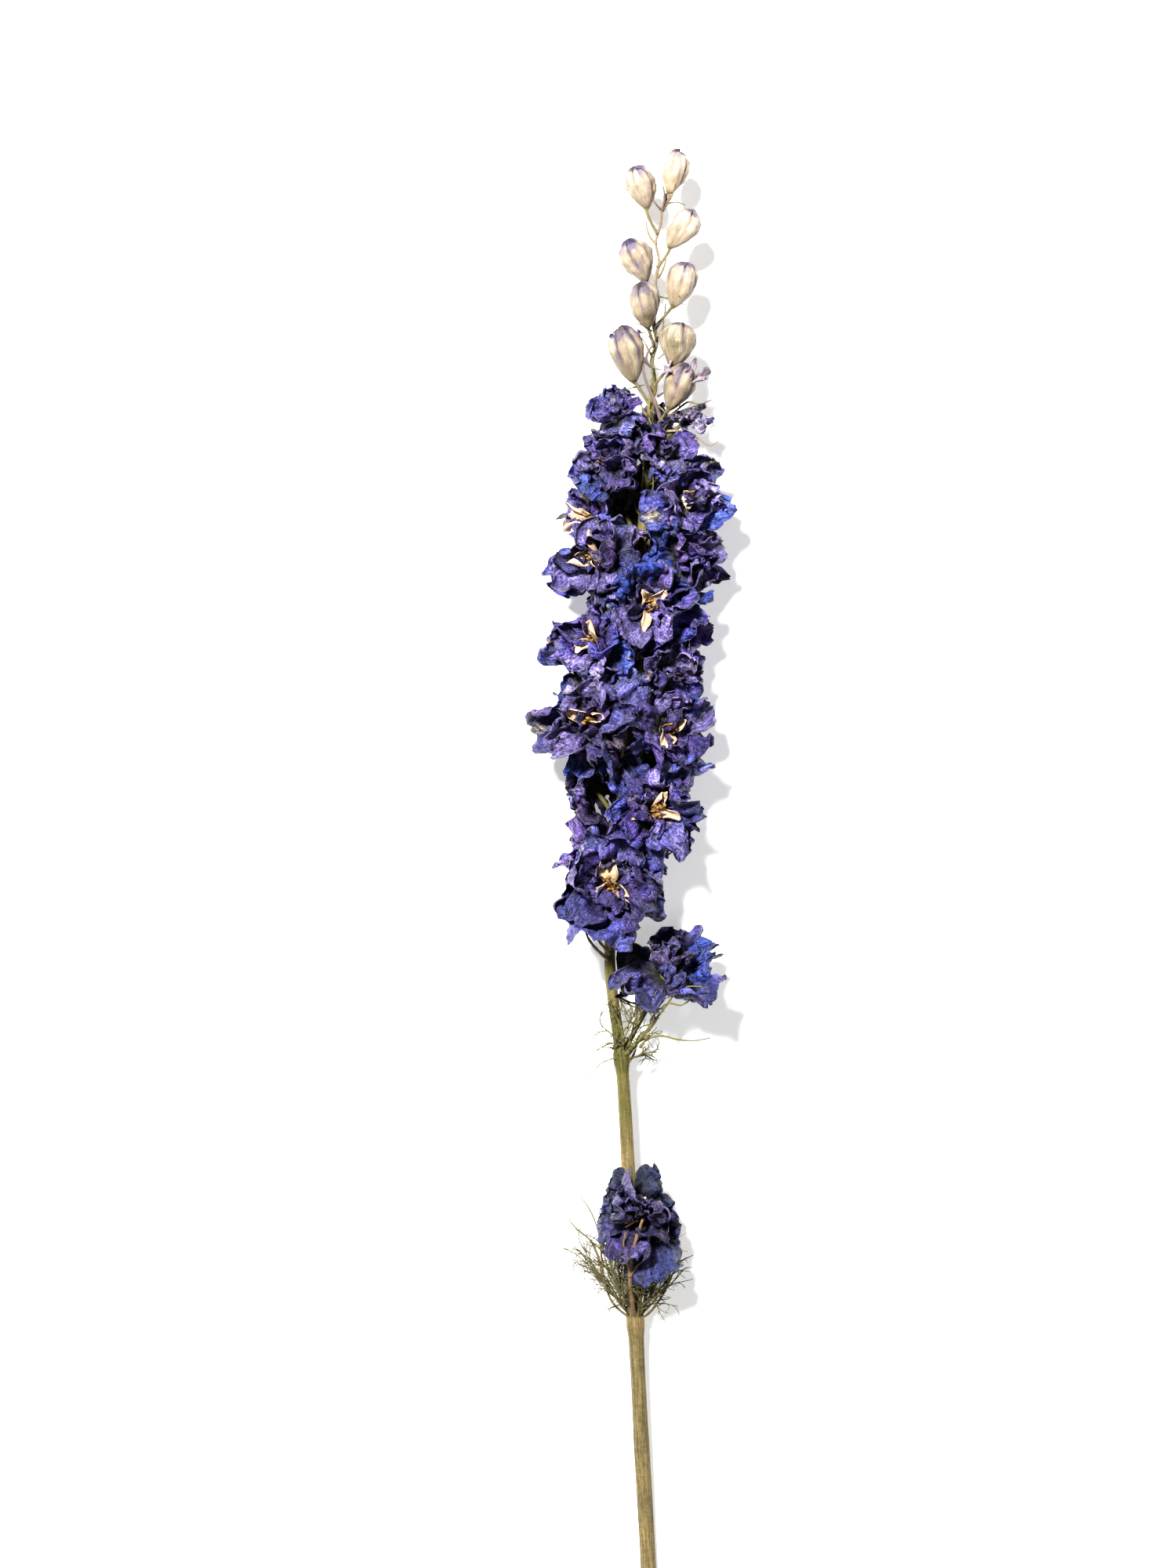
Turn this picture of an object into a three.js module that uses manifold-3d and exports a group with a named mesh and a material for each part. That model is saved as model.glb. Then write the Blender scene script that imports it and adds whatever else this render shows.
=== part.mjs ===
// A dried delphinium flower spike, cut and laid on a flat surface.
// Millimetres, +Z up. The stem runs along +Y, from its cut end to the bud at the tip, and +Z faces the viewer.
// The stem with its flower stalks, bracts and thread leaves is one piece. Each bloom, each bloom's heart and each
// bud is a piece of its own, seated on its stalk with a hair of air between them.
import * as THREE from "three";
import { mergeVertices } from "three/addons/utils/BufferGeometryUtils.js";
import Module from "manifold-3d";

const wasm = await Module();
wasm.setup();

// ---------------------------------------------------------------- driving dimensions

const FOOTPRINT_CENTRE = { x: 10.1, y: -37.2 }; // the middle of the lying spike, which becomes the origin
const GAP = 0.3; // air between two pieces
const BLADE = 0.6; // thickness of a dried petal
const RESTING = 0.12; // height of the middle of a petal that is pressed against the surface
const CRUMPLED = 1.2; // how much longer a petal may be than the room it has
const PRESSED = 1.4; // how much deeper the petals underneath would hang if the surface were not there
const LEAST_ROOM = 1.6; // a bloom's room never closes in on its knot more than this
const FINEST = 0.08; // steps smaller than this are smoothed away on a bloom
const FINEST_STEM = 0.064; // and these on the stem
const END_ROOM = 0.7; // of that air, what is kept free before the end of a stalk
const CELL_SIDE = 0.45; // how far a petal's middle stays from the border with the next bloom
const CORE_RADIUS = 1.9; // the knot that a bloom's petals grow from, on a bloom of size 1
const TURNED = 0.6; // a bloom faces this share of its place round the stem, as all of them turned when they dried
const STALK_RADIUS = 0.55;
const BRACT_RADIUS = 0.35;
const THREAD_RADIUS = 0.38;

// The centre line of the stem, from the cut end to the tip: [y, x, height above the surface, radius].
const STEM = [
  [-236, 17.0, 1.8, 2.0],
  [-204, 15.7, 1.8, 2.0],
  [-170, 13.8, 3.8, 1.95],
  [-138, 12.2, 6.2, 1.9],
  [-96, 10.2, 8.4, 1.7],
  [-71, 8.6, 9.7, 1.55],
  [-46, 5.6, 10.8, 1.4],
  [-22, 7.0, 11.5, 1.35],
  [4, 9.4, 12.0, 1.3],
  [31, 12.6, 12.3, 1.25],
  [60, 13.6, 12.7, 1.15],
  [101, 16.4, 13.4, 0.8],
  [127, 17.6, 14.0, 0.6],
  [144, 18.2, 14.4, 0.5],
  [150.5, 20.6, 14.6, 0.75],
];

// The blooms, from the top down. y: where it sits along the stem. turn: degrees round the stem, 0 towards the
// viewer and 90 to the right. out: from the stem's centre line to the bloom's knot. size: 1 is a bloom 25 mm across.
// nod: degrees that it faces towards the tip. open: 0 in bud, 1 fully open. drop: how far down its stalk starts.
// slim: how far its petals reach to either side, where they have shrivelled.
const BLOOMS = [
  { y: 93, turn: -62, out: 8.5, size: 0.66, nod: 38, open: 0.45, drop: 9 },
  { y: 93, turn: 78, out: 9.0, size: 0.52, nod: 34, open: 0.3, drop: 9 },
  { y: 91, turn: 175, out: 7.0, size: 0.6, nod: 30, open: 0.5, drop: 9 },
  { y: 84, turn: 28, out: 8.0, size: 0.74, nod: 22, open: 0.7, drop: 9 },
  { y: 80, turn: -56, out: 10.0, size: 0.95, nod: 12, open: 0.9, drop: 9 },
  { y: 77, turn: 128, out: 8.0, size: 0.8, nod: 10, open: 0.8, drop: 9 },
  { y: 73, turn: 62, out: 10.5, size: 0.98, nod: 6, open: 0.9, drop: 9 },
  { y: 70, turn: -136, out: 8.0, size: 0.9, nod: 8, open: 0.9, drop: 9 },
  { y: 67, turn: -84, out: 12.5, size: 0.8, nod: 4, open: 1, drop: 10 },
  { y: 58, turn: 72, out: 11.0, size: 1.0, nod: 4, open: 1, drop: 10 },
  { y: 56, turn: -52, out: 12.5, size: 1.08, nod: 12, open: 1, drop: 10 },
  { y: 55, turn: 172, out: 6.8, size: 0.95, nod: 4, open: 1, drop: 9 },
  { y: 45, turn: 12, out: 9.5, size: 1.1, nod: 10, open: 1, drop: 11 },
  { y: 38, turn: 112, out: 9.5, size: 0.95, nod: 0, open: 1, drop: 10 },
  { y: 35, turn: -58, out: 11.5, size: 1.06, nod: 12, open: 1, drop: 10 },
  { y: 33, turn: -150, out: 7.2, size: 0.98, nod: 0, open: 1, drop: 9 },
  { y: 29, turn: 52, out: 9.0, size: 0.86, nod: -4, open: 0.9, drop: 10 },
  { y: 15, turn: -44, out: 12.5, size: 1.22, nod: 0, open: 1, drop: 12 },
  { y: 15, turn: 49, out: 11.0, size: 1.08, nod: 14, open: 1, drop: 11 },
  { y: 9, turn: 141, out: 8.2, size: 1.0, nod: 8, open: 1, drop: 9 },
  { y: 0, turn: -104, out: 9.5, size: 1.0, nod: -4, open: 0.9, drop: 10 },
  { y: -6, turn: 42, out: 11.0, size: 1.14, nod: 8, open: 1, drop: 12 },
  { y: -8, turn: 130, out: 8.5, size: 0.9, nod: 0, open: 0.9, drop: 9 },
  { y: -18, turn: -154, out: 6.4, size: 0.98, nod: -9, open: 1, drop: 9 },
  { y: -26, turn: -4, out: 9.5, size: 1.28, nod: 6, open: 1, drop: 12 },
  { y: -50, turn: 70, out: 15.0, size: 1.12, nod: 40, open: 0.9, drop: 20 },
  { y: -109, turn: 14, out: 7.0, size: 1.25, nod: 12, open: 0.75, drop: 26, slim: 10 },
];

// The buds, from the tip down. lean: degrees away from the stem. long and wide are the bud's own size.
const BUDS = [
  { y: 150.5, turn: 70, out: 0, lean: -9, long: 11, wide: 6.8, drop: 0 },
  { y: 149.2, turn: -80, out: 7.2, lean: 40, long: 10.6, wide: 7.8, drop: 9 },
  { y: 141.8, turn: 65, out: 6.4, lean: 32, long: 11, wide: 8.0, drop: 10 },
  { y: 133.3, turn: -60, out: 6.0, lean: 28, long: 11.2, wide: 8.2, drop: 9 },
  { y: 127.4, turn: 70, out: 6.2, lean: 16, long: 11.2, wide: 8.2, drop: 11 },
  { y: 121.6, turn: -34, out: 5.4, lean: 20, long: 11.4, wide: 8.0, drop: 10 },
  { y: 109.2, turn: -68, out: 7.2, lean: 16, long: 14, wide: 9.0, drop: 13 },
  { y: 112.2, turn: 60, out: 6.8, lean: 12, long: 10.8, wide: 9.4, drop: 11 },
  { y: 101.4, turn: 55, out: 8.0, lean: 24, long: 12, wide: 8.0, drop: 12 },
];

// The spur behind a bloom of size 1, ring by ring: how far outwards and forwards of the knot, and its radius.
const SPUR = [
  [1.4, -2.2, 0.8],
  [3.4, -4.2, 1.1],
  [6.2, -5.8, 1],
  [8.6, -6.6, 0.7],
];

const FIRST_HEART = 4; // the blooms above this one are still shut over their hearts

// The whorls of a bloom of size 1. turn: where its first petal stands. rise: the angle at which a petal leaves the
// bloom's face. bend: how far it has turned forwards by its tip. between: the whorl's lowest and highest angle above
// the bloom's face. shut: how much further forwards its petals stand in bud. All in degrees.
const WHORLS = {
  outer: {
    turn: 36,
    long: 14.2,
    halfWidth: 6.6,
    rise: [-20, 16],
    bend: [-10, 80],
    between: [-28, 33],
    shut: 50,
    wave: 1.6,
  },
  inner: {
    turn: 0,
    long: 11.5,
    halfWidth: 5.4,
    rise: [36, 56],
    bend: [-45, 50],
    between: [33, 66],
    shut: 20,
    wave: 1.5,
  },
};

// The thread leaves. y: the joint of the stem that it grows from. turn and lean as above, with its length.
const FRONDS = [
  { y: -71, turn: 66, lean: 44, long: 14, threads: 4 },
  { y: -70, turn: 24, lean: 28, long: 19, threads: 5 },
  { y: -140, turn: -76, lean: 14, long: 29, threads: 8 },
  { y: -139, turn: -8, lean: 11, long: 22, threads: 6 },
  { y: -140, turn: 70, lean: 14, long: 27, threads: 8 },
  { y: -138, turn: 178, lean: 9, long: 24, threads: 5 },
];

const COLOURS = {
  stem: { color: 0x8a7f45, roughness: 0.75 },
  bloom: { color: 0x43367f, roughness: 0.7 },
  heart: { color: 0xd9b483, roughness: 0.65 },
  bud: { color: 0xcdbf9f, roughness: 0.65 },
};

// ---------------------------------------------------------------- small helpers

const UP = new THREE.Vector3(0, 0, 1);
const radians = THREE.MathUtils.degToRad;
const STEM_TIP = STEM[STEM.length - 1][0];

// A repeatable draw between low and high, with an address of its own: which plant part, which petal, which use.
function draw(low, high, part, petal, use) {
  const scattered = Math.sin(part * 127.1 + petal * 311.7 + use * 74.7) * 43758.5453;
  return low + (high - low) * (scattered - Math.floor(scattered));
}

function sum(...terms) {
  const total = new THREE.Vector3();
  for (const [vector, factor] of terms) total.addScaledVector(vector, factor);
  return total;
}

// ---------------------------------------------------------------- solids, joined and cut

function solidOf(geometry) {
  const bare = new THREE.BufferGeometry();
  bare.setAttribute("position", geometry.getAttribute("position"));
  bare.setIndex(geometry.index);
  const merged = mergeVertices(bare, 1e-4);
  return new wasm.Manifold(
    new wasm.Mesh({
      numProp: 3,
      vertProperties: new Float32Array(merged.attributes.position.array),
      triVerts: new Uint32Array(merged.index.array),
    }),
  );
}

function solidFrom(points, triangles) {
  const geometry = new THREE.BufferGeometry();
  const flat = new Float32Array(points.flatMap((p) => [p.x, p.y, p.z]));
  geometry.setAttribute("position", new THREE.BufferAttribute(flat, 3));
  geometry.setIndex(triangles);
  return solidOf(geometry);
}

const fuse = (solids) => wasm.Manifold.union(solids);

// What is left in one piece after a cut: the largest body. The scraps are dropped.
function mainBody(solid, finest = FINEST) {
  const largest = solid.decompose().reduce((a, b) => (b.volume() > a.volume() ? b : a));
  return largest.simplify(finest);
}

function meshOf(name, solid, look) {
  const { vertProperties, triVerts, numProp } = solid.getMesh();
  const count = vertProperties.length / numProp;
  const positions = new Float32Array(count * 3);
  for (let i = 0; i < count; i++)
    positions.set(vertProperties.subarray(i * numProp, i * numProp + 3), i * 3);
  const geometry = new THREE.BufferGeometry();
  geometry.setAttribute("position", new THREE.BufferAttribute(positions, 3));
  geometry.setIndex(new THREE.BufferAttribute(new Uint32Array(triVerts), 1));
  geometry.computeVertexNormals();
  const mesh = new THREE.Mesh(geometry, new THREE.MeshStandardMaterial({ ...look, metalness: 0 }));
  mesh.name = name;
  return mesh;
}

// ---------------------------------------------------------------- the stem's line and the frames on it

// The stem at one y: x, height and radius, on a smooth curve through the stations.
function stemAt(y) {
  const last = STEM.length - 2;
  const found = STEM.findIndex(([next]) => next > y) - 1;
  const i = found < 0 ? (y < STEM[0][0] ? 0 : last) : found;
  const span = STEM[i + 1][0] - STEM[i][0];
  const t = (y - STEM[i][0]) / span;
  const slope = (k, column) => {
    const a = STEM[Math.max(k - 1, 0)];
    const b = STEM[Math.min(k + 1, STEM.length - 1)];
    return ((b[column] - a[column]) / (b[0] - a[0])) * span;
  };
  const [x, z, radius] = [1, 2, 3].map(
    (column) =>
      (2 * t ** 3 - 3 * t ** 2 + 1) * STEM[i][column] +
      (t ** 3 - 2 * t ** 2 + t) * slope(i, column) +
      (3 * t ** 2 - 2 * t ** 3) * STEM[i + 1][column] +
      (t ** 3 - t ** 2) * slope(i + 1, column),
  );
  return { centre: new THREE.Vector3(x, y, z), radius };
}

// The directions at one y of the stem: along it, and outwards at a turn round it.
function directionsAt(y, turn) {
  const along = stemAt(y + 0.5).centre.sub(stemAt(y - 0.5).centre).normalize();
  const side = along.clone().cross(UP).normalize();
  const top = side.clone().cross(along);
  const outward = sum([top, Math.cos(radians(turn))], [side, Math.sin(radians(turn))]);
  return { along, outward };
}

// A bloom's own frame: its knot, the way it faces, and two directions across its face.
function bloomFrame(bloom) {
  const { along, outward } = directionsAt(bloom.y, bloom.turn);
  const knot = stemAt(bloom.y).centre.addScaledVector(outward, bloom.out);
  const nod = radians(bloom.nod);
  const behind = Math.abs(bloom.turn) > 90 ? Math.sign(bloom.turn) * 180 : 0;
  const aim = directionsAt(bloom.y, behind + (bloom.turn - behind) * TURNED).outward;
  const facing = sum([aim, Math.cos(nod)], [along, Math.sin(nod)]);
  const upper = sum([along, Math.cos(nod)], [aim, -Math.sin(nod)]);
  const across = facing.clone().cross(upper);
  const centre = knot.clone().addScaledVector(facing, 3 * bloom.size);
  return { knot, facing, upper, across, outward, along, centre };
}

// A bud's own frame: its base, its axis and its middle. The topmost bud sits on the end of the stem itself.
function budFrame(bud) {
  const { along, outward } = directionsAt(Math.min(bud.y, STEM_TIP - 1), bud.turn);
  const lean = radians(bud.lean);
  const axis = sum([along, Math.cos(lean)], [outward, Math.sin(lean)]);
  const centre = stemAt(bud.y).centre.addScaledVector(outward, bud.out);
  if (bud.drop === 0) centre.addScaledVector(axis, GAP + bud.long / 2);
  const base = centre.clone().addScaledVector(axis, -bud.long / 2);
  return { axis, base, centre, outward };
}

// ---------------------------------------------------------------- tubes: stem, stalks, bracts and threads

// A tube through points with a radius at each, closed at both ends.
function tube(points, radii, sides) {
  const vertices = [];
  const triangles = [];
  let side = null;
  points.forEach((point, i) => {
    const before = points[Math.max(i - 1, 0)];
    const after = points[Math.min(i + 1, points.length - 1)];
    const tangent = after.clone().sub(before).normalize();
    side = side ?? (Math.abs(tangent.z) < 0.9 ? UP.clone() : new THREE.Vector3(1, 0, 0));
    side = side.clone().addScaledVector(tangent, -side.dot(tangent)).normalize();
    const other = tangent.clone().cross(side);
    for (let k = 0; k < sides; k++) {
      const angle = ((k + 0.5) / sides) * 2 * Math.PI;
      const ring = sum([point, 1], [side, Math.cos(angle) * radii[i]], [other, Math.sin(angle) * radii[i]]);
      vertices.push(ring);
    }
  });
  for (let i = 0; i < points.length - 1; i++)
    for (let k = 0; k < sides; k++) {
      const [a, b] = [i * sides + k, i * sides + ((k + 1) % sides)];
      triangles.push(a, b, b + sides, a, b + sides, a + sides);
    }
  const end = (points.length - 1) * sides;
  for (let k = 1; k < sides - 1; k++) triangles.push(0, k + 1, k, end, end + k, end + k + 1);
  return solidFrom(vertices, triangles);
}

// Points on a bent line through a start, a pull and an end.
function bentLine(start, pull, end, steps) {
  return new THREE.QuadraticBezierCurve3(start, pull, end).getPoints(steps);
}

// The same tube twice: the piece itself, and the room that its neighbours keep free.
function withRoom(points, radii, sides) {
  const last = points.length - 1;
  const tip = points[last].clone().sub(points[last - 1]).normalize();
  const longer = [...points.slice(0, last), points[last].clone().addScaledVector(tip, GAP * END_ROOM)];
  const wider = radii.map((r) => r + GAP / Math.cos(Math.PI / sides));
  return { piece: tube(points, radii, sides), room: tube(longer, wider, sides) };
}

function mainStem() {
  const stations = [];
  const first = STEM[0][0];
  const steps = 28;
  for (let i = 0; i <= steps; i++) stations.push(stemAt(first + ((STEM_TIP - first) * i) / steps));
  return withRoom(
    stations.map((s) => s.centre),
    stations.map((s) => s.radius),
    8,
  );
}

function bloomStalk(bloom) {
  const { knot, facing, outward } = bloomFrame(bloom);
  const foot = stemAt(bloom.y - bloom.drop).centre;
  const pull = stemAt(bloom.y - 0.35 * bloom.drop).centre.addScaledVector(outward, bloom.out * 0.62);
  const end = knot.clone().addScaledVector(facing, -BLADE - 0.1 - GAP);
  const radius = STALK_RADIUS * (0.75 + 0.3 * bloom.size);
  return withRoom(bentLine(foot, pull, end, 3), [radius * 1.3, radius, radius, radius * 1.25], 4);
}

function budStalk(bud) {
  const { axis, base, outward } = budFrame(bud);
  const foot = stemAt(bud.y - bud.drop).centre;
  const pull = stemAt(bud.y - 0.55 * bud.drop).centre.addScaledVector(outward, bud.out * 0.6);
  const end = base.clone().addScaledVector(axis, -GAP);
  return withRoom(bentLine(foot, pull, end, 3), [0.6, 0.45, 0.45, 0.6], 4);
}

// The narrow bract below a stalk: it leaves the stem and curls away from it.
function bract(owner, index) {
  const { along, outward } = directionsAt(owner.y - owner.drop, owner.turn + draw(-40, 40, index, 0, 31));
  const root = stemAt(owner.y - owner.drop - 2.4);
  const long = draw(4.5, 7, index, 0, 32);
  const start = root.centre.addScaledVector(outward, root.radius * 0.5);
  const pull = sum([start, 1], [outward, long * 0.42], [along, long * 0.25]);
  const end = sum([start, 1], [outward, long * 0.5], [along, long * 0.95]);
  return withRoom(bentLine(start, pull, end, 2), [BRACT_RADIUS, BRACT_RADIUS, BRACT_RADIUS * 0.6], 3);
}

// Keeps a line above the surface, and lets it settle there rather than stop short.
function settle(point, radius) {
  const soft = 1.2;
  const height = radius + soft * Math.log(1 + Math.exp((point.z - radius) / soft));
  return new THREE.Vector3(point.x, point.y, height);
}

// One thread leaf: a rib, with side threads in turn to the left and the right, and each of those forks once.
function frond(leaf, index) {
  const { along, outward } = directionsAt(leaf.y, leaf.turn);
  const flank = along.clone().cross(outward);
  const lean = radians(leaf.lean);
  const rise = sum([along, Math.cos(lean)], [outward, Math.sin(lean)]);
  const root = stemAt(leaf.y).centre;
  const spread = sum([root, 1], [along, leaf.long * 0.25], [outward, leaf.long * Math.sin(lean) * 0.6]);
  const tip = sum([root, 1], [rise, leaf.long], [flank, draw(-3, 3, index, 0, 41)]);
  const rib = new THREE.QuadraticBezierCurve3(root, spread, tip);
  const lay = (points, radii) => {
    const laid = points.map((point) => settle(point, THREAD_RADIUS + 0.1));
    return withRoom(laid, radii, 3);
  };
  const threads = [lay(rib.getPoints(4), [0.7, 0.5, 0.42, THREAD_RADIUS, 0.25])];
  for (let k = 0; k < leaf.threads; k++) {
    const place = 0.3 + (0.62 * k) / leaf.threads;
    const start = rib.getPoint(place);
    const heading = rib.getTangent(place);
    const hand = k % 2 ? 1 : -1;
    const away = sum(
      [flank, hand * draw(0.4, 1, index, k, 42)],
      [outward, draw(-0.5, 0.7, index, k, 43)],
      [heading, draw(0.2, 0.8, index, k, 44)],
    ).normalize();
    const long = leaf.long * 0.36 * (1.15 - 0.6 * place);
    const bend = sum([start, 1], [away, long * 0.55]);
    const end = sum([bend, 1], [away, long * 0.25], [heading, long * draw(-0.2, 0.6, index, k, 45)]);
    threads.push(lay([start, bend, end], [THREAD_RADIUS, THREAD_RADIUS, 0.2]));
  }
  return { piece: fuse(threads.map((t) => t.piece)), room: fuse(threads.map((t) => t.room)) };
}

// ---------------------------------------------------------------- the room that each bloom may fill


// The flat borders of a bloom's room: with each neighbour, with the stem, and with the surface underneath.
// Each border is a direction that points out of the room, and how far it lies from the bloom's knot.
function bordersOf(bloom, index, lowest) {
  const own = bloomFrame(bloom);
  const borders = [];
  const add = (normal, point) => borders.push({ normal, reach: point.clone().sub(own.knot).dot(normal) });
  BLOOMS.forEach((other, k) => {
    const towards = bloomFrame(other).centre.sub(own.centre);
    const apart = towards.length();
    if (k === index || apart > 45) return;
    const share = bloom.size / (bloom.size + other.size);
    towards.normalize();
    add(towards, own.centre.clone().addScaledVector(towards, apart * share - CELL_SIDE));
  });
  BUDS.forEach((bud) => {
    const { axis, centre } = budFrame(bud);
    const towards = centre.clone().sub(own.centre).normalize();
    const lengthwise = towards.dot(axis);
    const half = Math.hypot((bud.long / 2) * lengthwise, (bud.wide / 2) * Math.sqrt(1 - lengthwise ** 2));
    add(towards, centre.addScaledVector(towards, -half - GAP - BLADE / 2 - 0.1));
  });
  // Blooms on the front half reach round in front of the stem.
  const stem = stemAt(bloom.y);
  const inwards = directionsAt(bloom.y, bloom.turn * (Math.abs(bloom.turn) < 90 ? 0.55 : 1)).outward.negate();
  add(inwards, stem.centre.clone().addScaledVector(inwards, -stem.radius - GAP - BLADE));
  if (bloom.slim)
    for (const side of [-1, 1]) {
      const sideways = own.across.clone().multiplyScalar(side);
      add(sideways, own.knot.clone().addScaledVector(sideways, bloom.slim));
    }
  add(UP.clone().negate(), new THREE.Vector3(0, 0, lowest));
  return borders;
}

// How far a line from a bloom's knot runs before it meets a border.
function roomAlong(direction, borders) {
  let limit = 60;
  for (const { normal, reach } of borders) {
    const slope = direction.dot(normal);
    if (slope > 1e-3) limit = Math.min(limit, Math.max(reach, LEAST_ROOM) / slope);
  }
  return limit;
}

// Draws a point in towards the knot as it nears a border, so that it never crosses one.
function keepInside(arm, borders, crowding) {
  const length = arm.length();
  const share = length / roomAlong(arm.clone().divideScalar(length), borders);
  const squeezed = crowding ? 1 / (1 + share ** crowding) ** (1 / crowding) : Math.min(1, 1 / share);
  return arm.clone().multiplyScalar(squeezed);
}

// ---------------------------------------------------------------- petals

// How one petal grows: its place in the whorl, its size, and how it bends, cups, twists and waves.
function petalShape(bloom, index, whorlName, k) {
  const whorl = WHORLS[whorlName];
  const id = whorlName === "outer" ? k : k + 20;
  const shut = (1 - bloom.open) * whorl.shut;
  return {
    around: radians(72 * k + whorl.turn),
    rise: radians(draw(...whorl.rise, index, id, 2) + shut),
    bend: radians(draw(...whorl.bend, index, id, 3) + shut * 0.4),
    long: whorl.long * bloom.size * draw(0.86, 1.1, index, id, 4),
    halfWidth: whorl.halfWidth * bloom.size * draw(0.86, 1.12, index, id, 5),
    cup: draw(-0.05, 0.13, index, id, 6) / bloom.size,
    twist: radians(draw(-26, 26, index, id, 7)),
    wave: whorl.wave * bloom.size * draw(0.6, 1.3, index, id, 8),
    phase: draw(0, 2 * Math.PI, index, id, 9),
    between: whorl.between.map((angle) => radians(angle + (1 - bloom.open) * 22)),
  };
}

// A point on a petal's middle surface, in the petal's own directions: outwards, sideways and forwards from the
// knot. u runs across the petal from -1 to 1, and v along it from 0 to 1.
function petalPoint(shape, start, u, v) {
  const along = v * (1 - 0.2 * u * u);
  const bend = Math.abs(shape.bend) < 0.02 ? 0.02 : shape.bend;
  const angle = shape.rise + bend * along;
  const outwards = (shape.long * (Math.sin(angle) - Math.sin(shape.rise))) / bend;
  const forwards = (shape.long * (Math.cos(shape.rise) - Math.cos(angle))) / bend;
  const width = shape.halfWidth * (0.15 + 0.85 * Math.sin(2.5 * along));
  const roll = shape.twist * along;
  const curl = shape.cup * u * width;
  const flat = Math.abs(curl) < 1e-4;
  const across = flat ? u * width : Math.sin(curl) / shape.cup;
  const raised = flat ? 0 : (1 - Math.cos(curl)) / shape.cup;
  const lift = raised + shape.wave * along * along * Math.sin(2.4 * u + shape.phase + 3 * along);
  const sideways = across * Math.cos(roll) - lift * Math.sin(roll);
  const tilted = across * Math.sin(roll) + lift * Math.cos(roll);
  return {
    outwards: start + outwards - tilted * Math.sin(angle),
    sideways,
    forwards: forwards + tilted * Math.cos(angle),
  };
}

// Keeps a petal in its own slice of the bloom, between its neighbours to the left and the right and between the
// whorls below and above, with half a petal's thickness to spare.
function keepInSlice(point, shape) {
  const spare = BLADE / 2 + 0.1;
  const outwards = Math.max(point.outwards, 1.2);
  const widest = Math.max(outwards * Math.tan(Math.PI / 5) - spare / Math.cos(Math.PI / 5), 0.1);
  const lean = Math.abs(point.sideways) / widest;
  const sideways = point.sideways / (1 + lean ** 6) ** (1 / 6);
  const radius = Math.hypot(outwards, sideways);
  const reach = Math.hypot(radius, point.forwards);
  const slack = Math.asin(Math.min(spare / reach, 0.9));
  const [lowest, highest] = shape.between;
  const height = Math.atan2(point.forwards, radius);
  const held = THREE.MathUtils.clamp(height, lowest + slack, Math.max(highest - slack, lowest + slack));
  const stretch = (reach * Math.cos(held)) / radius;
  return { outwards: outwards * stretch, sideways: sideways * stretch, forwards: reach * Math.sin(held) };
}

// The rim of a petal from its left root to its right, as [u, v], and how far along its spine points stand.
const RIMS = {
  outer: { rim: [[-1, 0.4], [-0.96, 0.8], [-0.45, 1], [0.35, 0.96], [0.95, 0.86], [1, 0.45]], spine: [0.36, 0.78] },
  inner: { rim: [[-1, 0.5], [-0.6, 0.97], [0.5, 1], [1, 0.55]], spine: [0.62] },
};

// The knot of a bloom in three rings of ten corners. The outer petals grow from every second face between the
// first two rings, and the inner petals from the faces between them in the next band.
function knotRings(bloom) {
  const wide = CORE_RADIUS * bloom.size;
  const rings = [
    [wide * 0.8, -BLADE - 0.1],
    [wide, 0],
    [wide * 0.8, BLADE + 0.1],
  ];
  return rings.map(([radius, forwards]) =>
    [...Array(10).keys()].map((k) => {
      const angle = radians(36 * k - 18);
      return { angle, radius, forwards };
    }),
  );
}

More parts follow.
